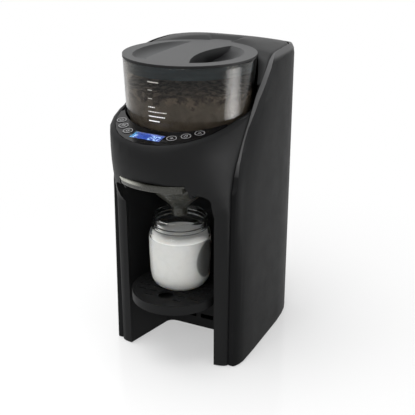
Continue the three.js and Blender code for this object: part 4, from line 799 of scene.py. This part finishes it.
def make_funnel():
    """Mixing funnel: spout, round bowl, shallow pan and flanged lip outside; the same hollow inside."""
    line = smooth_line(BOWL_LINE, 26)[::-1] * [BOWL_DEPTH, BOWL_RADIUS, BOWL_RADIUS]
    hollow = SPOUT_RADIUS - 2
    rows = [bowl_row(z, radius, radius) for z, radius in (
        (SPOUT_END, SPOUT_RADIUS - 0.3), (SPOUT_END + SPOUT_ROUND, SPOUT_RADIUS), (198, SPOUT_RADIUS))]
    rows += [bowl_row(BOWL_TOP - down, radius, rear) for down, radius, rear in line]
    rows += [pan_row(z, inset, front) for z, inset, front in (
        (248.6, 2.5, 3.0), (249.3, 2.3, 1.9), (250.4, 2.3, 1.3), (255.2, 2.3, 0.2),
        (LIP_FOOT, 2.3, 0), (LIP_FOOT, 0, 0), (257.2, 0, 0), (257.7, 0.15, 0.15), (PAN_TOP, 0.6, 0.6),
        (PAN_TOP, 3.6, 3.0), (257.6, 4.0, 3.5), (BOWL_TOP_INSIDE, 4.1, 3.8))]
    rows += [bowl_row(BOWL_TOP_INSIDE - down, radius - BOWL_WALL, rear - BOWL_WALL)
             for down, radius, rear in line[::-1]]
    rows += [bowl_row(z, radius, radius) for z, radius in (
        (SPOUT_END + SPOUT_ROUND, hollow), (SPOUT_END, hollow + 0.3))]
    rows = np.stack(rows)
    piece("funnel_body", rows.reshape(-1, 3), lattice(len(rows), rows.shape[1], True, True), FUNNEL,
          "funnel", "funnel_smoke", ["mixing_funnel"], crease=38)


make_funnel()


# ---------------------------------------------------------------- lids

# The shell's upper edge from front to rear: y as a share of its rear, z as a share of its top.
EDGE_LINE = np.array([
    [-0.3312, 0], [-0.3129, 0.5263], [-0.2946, 0.6239], [-0.2492, 0.6983], [-0.164, 0.7664],
    [-0.0726, 0.8164], [0, 0.8549], [0.0694, 0.8909], [0.1388, 0.9268], [0.2145, 0.9602],
    [0.2587, 0.9807], [0.3155, 0.9936], [0.3912, 0.9987], [0.5678, 1], [0.7571, 0.9974], [1, 0.9872]])
TAB_X, TAB_Y, TAB_HALF_WIDTH, TAB_REACH = 3, 78, 15, 13
CROWN_START, CROWN_PEAK_Y, CROWN_TOP, CROWN_HALF_WIDTH = 26.87, 122.07, 395.85, 86.6
RIM_HALF_WIDTH, RIM_HALF_DEPTH, RIM_Y, RIM_POWER = 86.4, 153.4, -4.5, 5.5
LID_CUT_RADIUS, TAB_GAP = 83.0, 0.8
ROOF_X, ROOF_Y = np.linspace(-93, 93, 125), np.linspace(14, 160, 99)
ROOF_THICKNESS, ROLL, ROLL_DEPTH = 2.5, 2.4, 1.9
KNUCKLE_ENDS, WEB_THICKNESS, WEB_TOP = (6.0, 16.7), 3, 388.6


def tongue(grow):
    """Plan of the lid's tab: a rounded tongue, x = c + a sin(t)^0.8, y = d + b cos(t)^0.8."""
    t = np.linspace(-PI / 2, PI / 2, 33)
    return np.column_stack([TAB_X + (TAB_HALF_WIDTH + grow) * power(np.sin(t), 0.8),
                            TAB_Y + (TAB_REACH + grow) * power(np.cos(t), 0.8)])


def make_container_lid():
    """The container's lid from its CAD copy, with the square end of its tab rounded to a tongue."""
    lid = merged("container_lid", 40)
    round_end = np.concatenate([[[-20, 96], [-20, 83.5]], tongue(0)[4:-4], [[26, 83.5], [26, 96]]])
    shaped(lid, "DIFFERENCE", cutter(*prism(round_end, 380, 400)), 40)


def edge_height(y):
    """Height of the shell's upper edge at a place along the machine."""
    line = smooth_line(EDGE_LINE, 240) * [SHELL_REAR, SHELL_TOP]
    return np.interp(y, line[:, 0], line[:, 1])


def make_tank_lid():
    """The tank's lid: z = shell edge - 0.8 + crown * sin(pi v)^0.8 * (1 - u^3), with v along the
    machine and u across it, rolled off at its outer rim.

    Beside the container's lid it dips: z stays under limit = 391.4 + 0.55 * gap by a soft minimum,
    roof - k * log(1 + exp((roof - limit) / k)). The rim is the superellipse |x / a|^n + |y / b|^n = 1."""
    x, y = np.meshgrid(ROOF_X, ROOF_Y, indexing="ij")
    v = np.clip((y - CROWN_START) / (SHELL_REAR - CROWN_START), 0, 1)
    side_fall = 1 - np.minimum(1, abs(x) / CROWN_HALF_WIDTH) ** 3
    crown = (CROWN_TOP - edge_height(CROWN_PEAK_Y)) * np.sin(PI * v) ** 0.8 * side_fall
    roof = edge_height(np.minimum(y, SHELL_REAR)) - 0.8 + crown
    gap = np.minimum(np.hypot(x, y) - LID_CUT_RADIUS - 0.2, np.maximum(
        np.abs(x - TAB_X) - TAB_HALF_WIDTH - TAB_GAP, y - TAB_Y - TAB_REACH - TAB_GAP))
    limit, soft = 391.4 + 0.55 * np.maximum(gap, 0), 1.2
    roof = roof - soft * np.log1p(np.exp((roof - limit) / soft))
    wide = (np.abs(x / RIM_HALF_WIDTH) ** RIM_POWER
            + np.abs((y - RIM_Y) / (RIM_HALF_DEPTH - 0.2)) ** RIM_POWER) ** (1 / RIM_POWER)
    inward = (1 - wide) * RIM_HALF_WIDTH
    sunk = ROLL - np.sqrt(np.maximum(ROLL ** 2 - np.clip(ROLL - inward, 0, ROLL) ** 2, 0))
    top = np.stack([x, y, roof - np.minimum(sunk, ROLL_DEPTH)], -1).reshape(-1, 3)
    low = np.stack([x, y, roof - ROOF_THICKNESS], -1).reshape(-1, 3)
    faces = lattice(*x.shape).tolist()
    count = len(top)
    under = [[corner + count for corner in face[::-1]] for face in faces]
    grid = np.arange(count).reshape(x.shape)
    loop = np.concatenate([grid[:, 0], grid[-1, 1:], grid[-2::-1, -1], grid[0, -2:0:-1]]).tolist()
    wall = [[a, b, b + count, a + count] for a, b in zip(loop, loop[1:] + loop[:1])]
    lid = piece("tank_lid_roof", np.concatenate([top, low]), faces + under + wall, TANK_LID, "tank_lid",
                "body_charcoal", ["water_tank_lid"], crease=30)
    t = np.linspace(0, TURN, 160, endpoint=False)
    rim = np.column_stack([RIM_HALF_WIDTH * power(np.sin(t), 2 / RIM_POWER),
                           RIM_Y - RIM_HALF_DEPTH * power(np.cos(t), 2 / RIM_POWER)])
    shaped(lid, "INTERSECT", cutter(*prism(rim, 300, 420)))
    around = cutter(*prism(circle(LID_CUT_RADIUS, 160), 300, 420))
    shaped(around, "UNION", cutter(*prism(tongue(TAB_GAP), 301, 421)))
    shaped(around, "UNION", cutter(*prism(rectangle(-100, 100, -20, 20), 299, 419)))
    shaped(lid, "DIFFERENCE", around)
    for side in (-1, 1):
        x0, x1 = sorted(side * end for end in KNUCKLE_ENDS)
        ring = circle(KNUCKLE_RADIUS, 32, (HINGE_Y, HINGE_Z))
        rod = np.concatenate([np.column_stack([np.full(32, end), ring]) for end in (x0, x1)])
        sides = lattice(2, 32, wrap_cols=True).tolist() + [list(range(32)), list(range(63, 31, -1))]
        shaped(lid, "UNION", cutter(rod, sides))
        web = rectangle(x0, x1, HINGE_Y - WEB_THICKNESS / 2, HINGE_Y + WEB_THICKNESS / 2)
        shaped(lid, "UNION", cutter(*prism(web, HINGE_Z, WEB_TOP)))


make_container_lid()
make_tank_lid()


# ---------------------------------------------------------------- bottle

# Radius and height from base to rim, as shares of the bottle's radius and height.
BOTTLE_LINE = np.array([
    [0.6, 0], [0.77, 0.022], [0.9, 0.085], [0.965, 0.18], [1, 0.5], [0.995, 0.7], [0.965, 0.78],
    [0.862, 0.835], [0.905, 0.862], [0.862, 0.888], [0.905, 0.922], [0.862, 0.945], [0.875, 1]])
BOTTLE_STEPS = 128
GRIP_DEPTH, GRIP_MIDDLE, GRIP_HALF_HEIGHT, GRIP_HALF_TURN = 2.6, 43, 26, 0.42
MILK_SHARE, MILK_PRESS = 0.727, 0.03


def bottle_rows(line, drop, lift=0.0):
    """Rings of a bottle skin turned about its axis: r = profile - grip dent, where each of the two
    grips is a lens, depth * (1 - off^2 - up^2)^1.5, deepest at its middle."""
    angle = np.linspace(0, TURN, BOTTLE_STEPS, endpoint=False)[None]
    r, z = line[:, :1] - drop, line[:, 1:] + lift
    up = (z - (BOTTLE_BASE + GRIP_MIDDLE)) / GRIP_HALF_HEIGHT
    for bearing in (math.radians(88), math.radians(-92)):
        off = np.angle(np.exp(1j * (angle - bearing))) / GRIP_HALF_TURN
        r = r - GRIP_DEPTH * np.clip(1 - off ** 2 - up ** 2, 0, 1) ** 1.5
    return np.stack(np.broadcast_arrays(r * np.sin(angle), BOTTLE_Y - r * np.cos(angle), z), -1)


def make_bottle():
    """The bottle's wall, a profile up the outside and down the inside, and the milk just in it."""
    scale = np.array([BOTTLE_RADIUS, BOTTLE_HEIGHT])
    floor = BOTTLE_BASE + BOTTLE_WALL
    body, neck = smooth_line(BOTTLE_LINE[:7], 40), smooth_line(BOTTLE_LINE[6:], 44)
    outside = np.concatenate([body, neck[1:]]) * scale + [0, BOTTLE_BASE]
    inside = np.concatenate([smooth_line(BOTTLE_LINE[:8], 40), smooth_line(BOTTLE_LINE[[7, 12]], 12)[1:]])
    inside = inside * scale + [0, BOTTLE_BASE]
    inside[:, 1] = floor + (inside[:, 1] - BOTTLE_BASE) * (1 - BOTTLE_WALL / BOTTLE_HEIGHT)
    base = np.array([[0.0, BOTTLE_BASE + 1.2], [0.3 * BOTTLE_RADIUS, BOTTLE_BASE + 1.0],
                     [0.5 * BOTTLE_RADIUS, BOTTLE_BASE + 0.1]])
    rows = np.concatenate([bottle_rows(base, 0), bottle_rows(outside, 0),
                           bottle_rows(inside[::-1], BOTTLE_WALL),
                           bottle_rows(np.array([[0.0, floor + 0.6]]), 0)])
    piece("bottle_wall", rows.reshape(-1, 3), lattice(len(rows), BOTTLE_STEPS, wrap_cols=True), BOTTLE,
          "bottle_body", "bottle_clear", ["bottle"], crease=50)
    top = BOTTLE_BASE + MILK_SHARE * BOTTLE_HEIGHT
    side = inside[inside[:, 1] < top - 1.2]
    side = np.concatenate([side, [[side[-1, 0] - 0.2, top - 0.5], [side[-1, 0] - 0.35, top]]])
    milk = np.concatenate([
        bottle_rows(np.array([[0.0, floor + 0.57]]), 0),
        bottle_rows(side, BOTTLE_WALL - MILK_PRESS, -MILK_PRESS),
        bottle_rows(np.array([[side[-1, 0] - 3.5, top - 0.25], [0.0, top - 0.4]]), 0)])
    piece("milk_fill", milk.reshape(-1, 3), lattice(len(milk), BOTTLE_STEPS, wrap_cols=True), MILK,
          "bottle_body", "milk_white", ["milk"], crease=60)


make_bottle()


# ---------------------------------------------------------------- panel prints, display digits and ticks

PRINT_THICKNESS, PRINT_LIFT = 0.1, 0.05
RING_RADIUS, RING_WIDTH = 5.6, 0.42
DIGIT_LIFT, DIGIT_WIDTH, BAR_WIDTH = -1.62, 0.8, 1.1
DIGIT_SCALE, DIGIT_STEP, DIGIT_START, DIGIT_SLANT = 4.6, 7.2, (3.4, -4.8), 0.12
BAR_START, BAR_STEP, BAR_LENGTH = (-17.2, -4.4), 2.6, 1.6
WRAP_RADIUS, TICK_START = 80.0, -14.0
TICKS = [  # height, length and width of each mark
    (370.7, 15, 1.3), (324.5, 15, 1.3), (330, 22, 1.2), (335.5, 24, 1.2), (341, 9, 1.2), (351, 6, 0.9),
    (361, 6, 0.9)]


def gathered(parts):
    """Several (points, faces) sets as one."""
    points, faces, start = [], [], 0
    for spots, sides in parts:
        points.append(spots)
        faces += [[int(v) + start for v in side] for side in sides]
        start += len(spots)
    return np.concatenate(points), faces


def stroke(line, width, lift, surface, closed=False):
    """A printed stroke: a thin strip along 2-D points, each pushed half a width to either side and
    laid on surface(points, height)."""
    line = np.asarray(line, float)
    if closed:
        ahead, behind = np.roll(line, -1, 0), np.roll(line, 1, 0)
    else:
        ahead = np.concatenate([line[1:], line[-1:]])
        behind = np.concatenate([line[:1], line[:-1]])
    way = ahead - behind
    way /= np.maximum(np.linalg.norm(way, axis=1, keepdims=True), 1e-9)
    side = np.column_stack([-way[:, 1], way[:, 0]]) * width / 2
    left, right = line + side, line - side
    rows = [surface(left, lift), surface(right, lift), surface(right, lift - PRINT_THICKNESS),
            surface(left, lift - PRINT_THICKNESS)]
    count = len(line)
    faces = lattice(count, 4, wrap_rows=closed, wrap_cols=True).tolist()
    if not closed:
        faces += [[0, 1, 2, 3], [4 * count - 1, 4 * count - 2, 4 * count - 3, 4 * count - 4]]
    return np.stack(rows, 1).reshape(-1, 3), faces


def on_deck(plan, height):
    """Plan points on the tilted deck, lifted along its normal."""
    y = plan[:, 1]
    return np.column_stack([plan[:, 0], y - height * math.sin(DECK_TILT),
                            DECK_HEIGHT + y * math.tan(DECK_TILT) + height * math.cos(DECK_TILT)])


def on_hopper(spots, height):
    """Points given as (arc length from the front, z) wrapped on the hopper's outside."""
    r = hopper_radius(spots[:, 1]) + height
    a = spots[:, 0] / WRAP_RADIUS
    return np.column_stack([r * np.sin(a), -r * np.cos(a), spots[:, 1]])


def panel_spot(bearing, reach):
    """Plan place on the panel at a bearing from its middle."""
    a = bearing + PANEL_TURN
    return np.array([reach * math.sin(a), -reach * math.cos(a)])


def turned_to(plan, spot, turn=PANEL_TURN):
    """2-D points turned about their origin, then moved to a plan place."""
    c, s = math.cos(turn), math.sin(turn)
    return np.asarray(plan, float) @ np.array([[c, s], [-s, c]]) + spot


def open_ring(radius, y):
    """Most of a circle, open at the top."""
    return circle(radius, 24, (0, y), math.radians(120), math.radians(300))


ICONS = [  # the strokes of each key's sign, and whether they close
    ([open_ring(1.7, -0.6), [[-0.85, 0.85], [0, 2.7], [0.85, 0.85]]], False),
    ([[[-2.4, -1.2], [-1.2, 0.3], [0, -1.2], [1.2, 0.3], [2.4, -1.2]],
      [[-2.4, 0.8], [-1.2, 2.3], [0, 0.8], [1.2, 2.3], [2.4, 0.8]]], False),
    ([open_ring(2.1, -0.2), [[0, 0.4], [0, 3.0]]], False),
    ([[[-2.2, 0], [2.2, 0]], [[0, -2.2], [0, 2.2]]], False),
    ([[[-1.5, -2.4], [-1.5, 1.0], [-0.7, 1.8], [-0.7, 2.7], [0.7, 2.7], [0.7, 1.8], [1.5, 1.0],
       [1.5, -2.4]]], True),
    ([[[-1.3, -2.1], [2.1, 0], [-1.3, 2.1]]], True),
]
SEGMENT_LINES = {
    "a": [[0.15, 2], [0.85, 2]], "b": [[1, 1.88], [1, 1.1]], "c": [[1, 0.9], [1, 0.12]],
    "d": [[0.15, 0], [0.85, 0]], "e": [[0, 0.12], [0, 0.9]], "f": [[0, 1.1], [0, 1.88]],
    "g": [[0.15, 1], [0.85, 1]],
}
DIGITS = {"0": "abcdef", "2": "abged"}


def make_icons():
    """White ring and simple sign printed on each key."""
    lift = KEY_TOP + PRINT_LIFT
    for i, (bearing, reach) in enumerate(KEYS):
        spot = panel_spot(bearing, reach)
        lines, closed = ICONS[i]
        parts = [stroke(turned_to(circle(RING_RADIUS, 56), spot, 0), RING_WIDTH, lift, on_deck, True)]
        parts += [stroke(turned_to(line, spot), RING_WIDTH, lift, on_deck, closed) for line in lines]
        piece(f"key_print_{i + 1}", *gathered(parts), RING, f"key_{i + 1}", "white_plastic")


def make_digits():
    """A seven-segment number and three level bars, lit on the display under its window."""
    spot = panel_spot(0, DISPLAY_REACH)
    parts = []
    for i, digit in enumerate("20"):
        for name in DIGITS[digit]:
            line = np.array(SEGMENT_LINES[name]) * DIGIT_SCALE + DIGIT_START + [DIGIT_STEP * i, 0]
            line[:, 0] += line[:, 1] * DIGIT_SLANT
            parts.append(stroke(turned_to(line, spot), DIGIT_WIDTH, DIGIT_LIFT, on_deck))
    for k in range(3):
        start = np.array(BAR_START) + [0, BAR_STEP * k]
        line = [start, start + [BAR_LENGTH + k, 0]]
        parts.append(stroke(turned_to(line, spot), BAR_WIDTH, DIGIT_LIFT, on_deck))
    piece("display_digits", *gathered(parts), LIT, "machine", "lcd_blue")


def make_ticks():
    """Fill scale printed on the hopper: long end marks and short steps between."""
    parts = [stroke(np.column_stack([np.linspace(TICK_START, TICK_START + length, 8), np.full(8, z)]),
                    width, PRINT_LIFT, on_hopper) for z, length, width in TICKS]
    piece("fill_scale", *gathered(parts), PRINT, "powder_container_body", "white_plastic")


make_icons()
make_digits()
make_ticks()
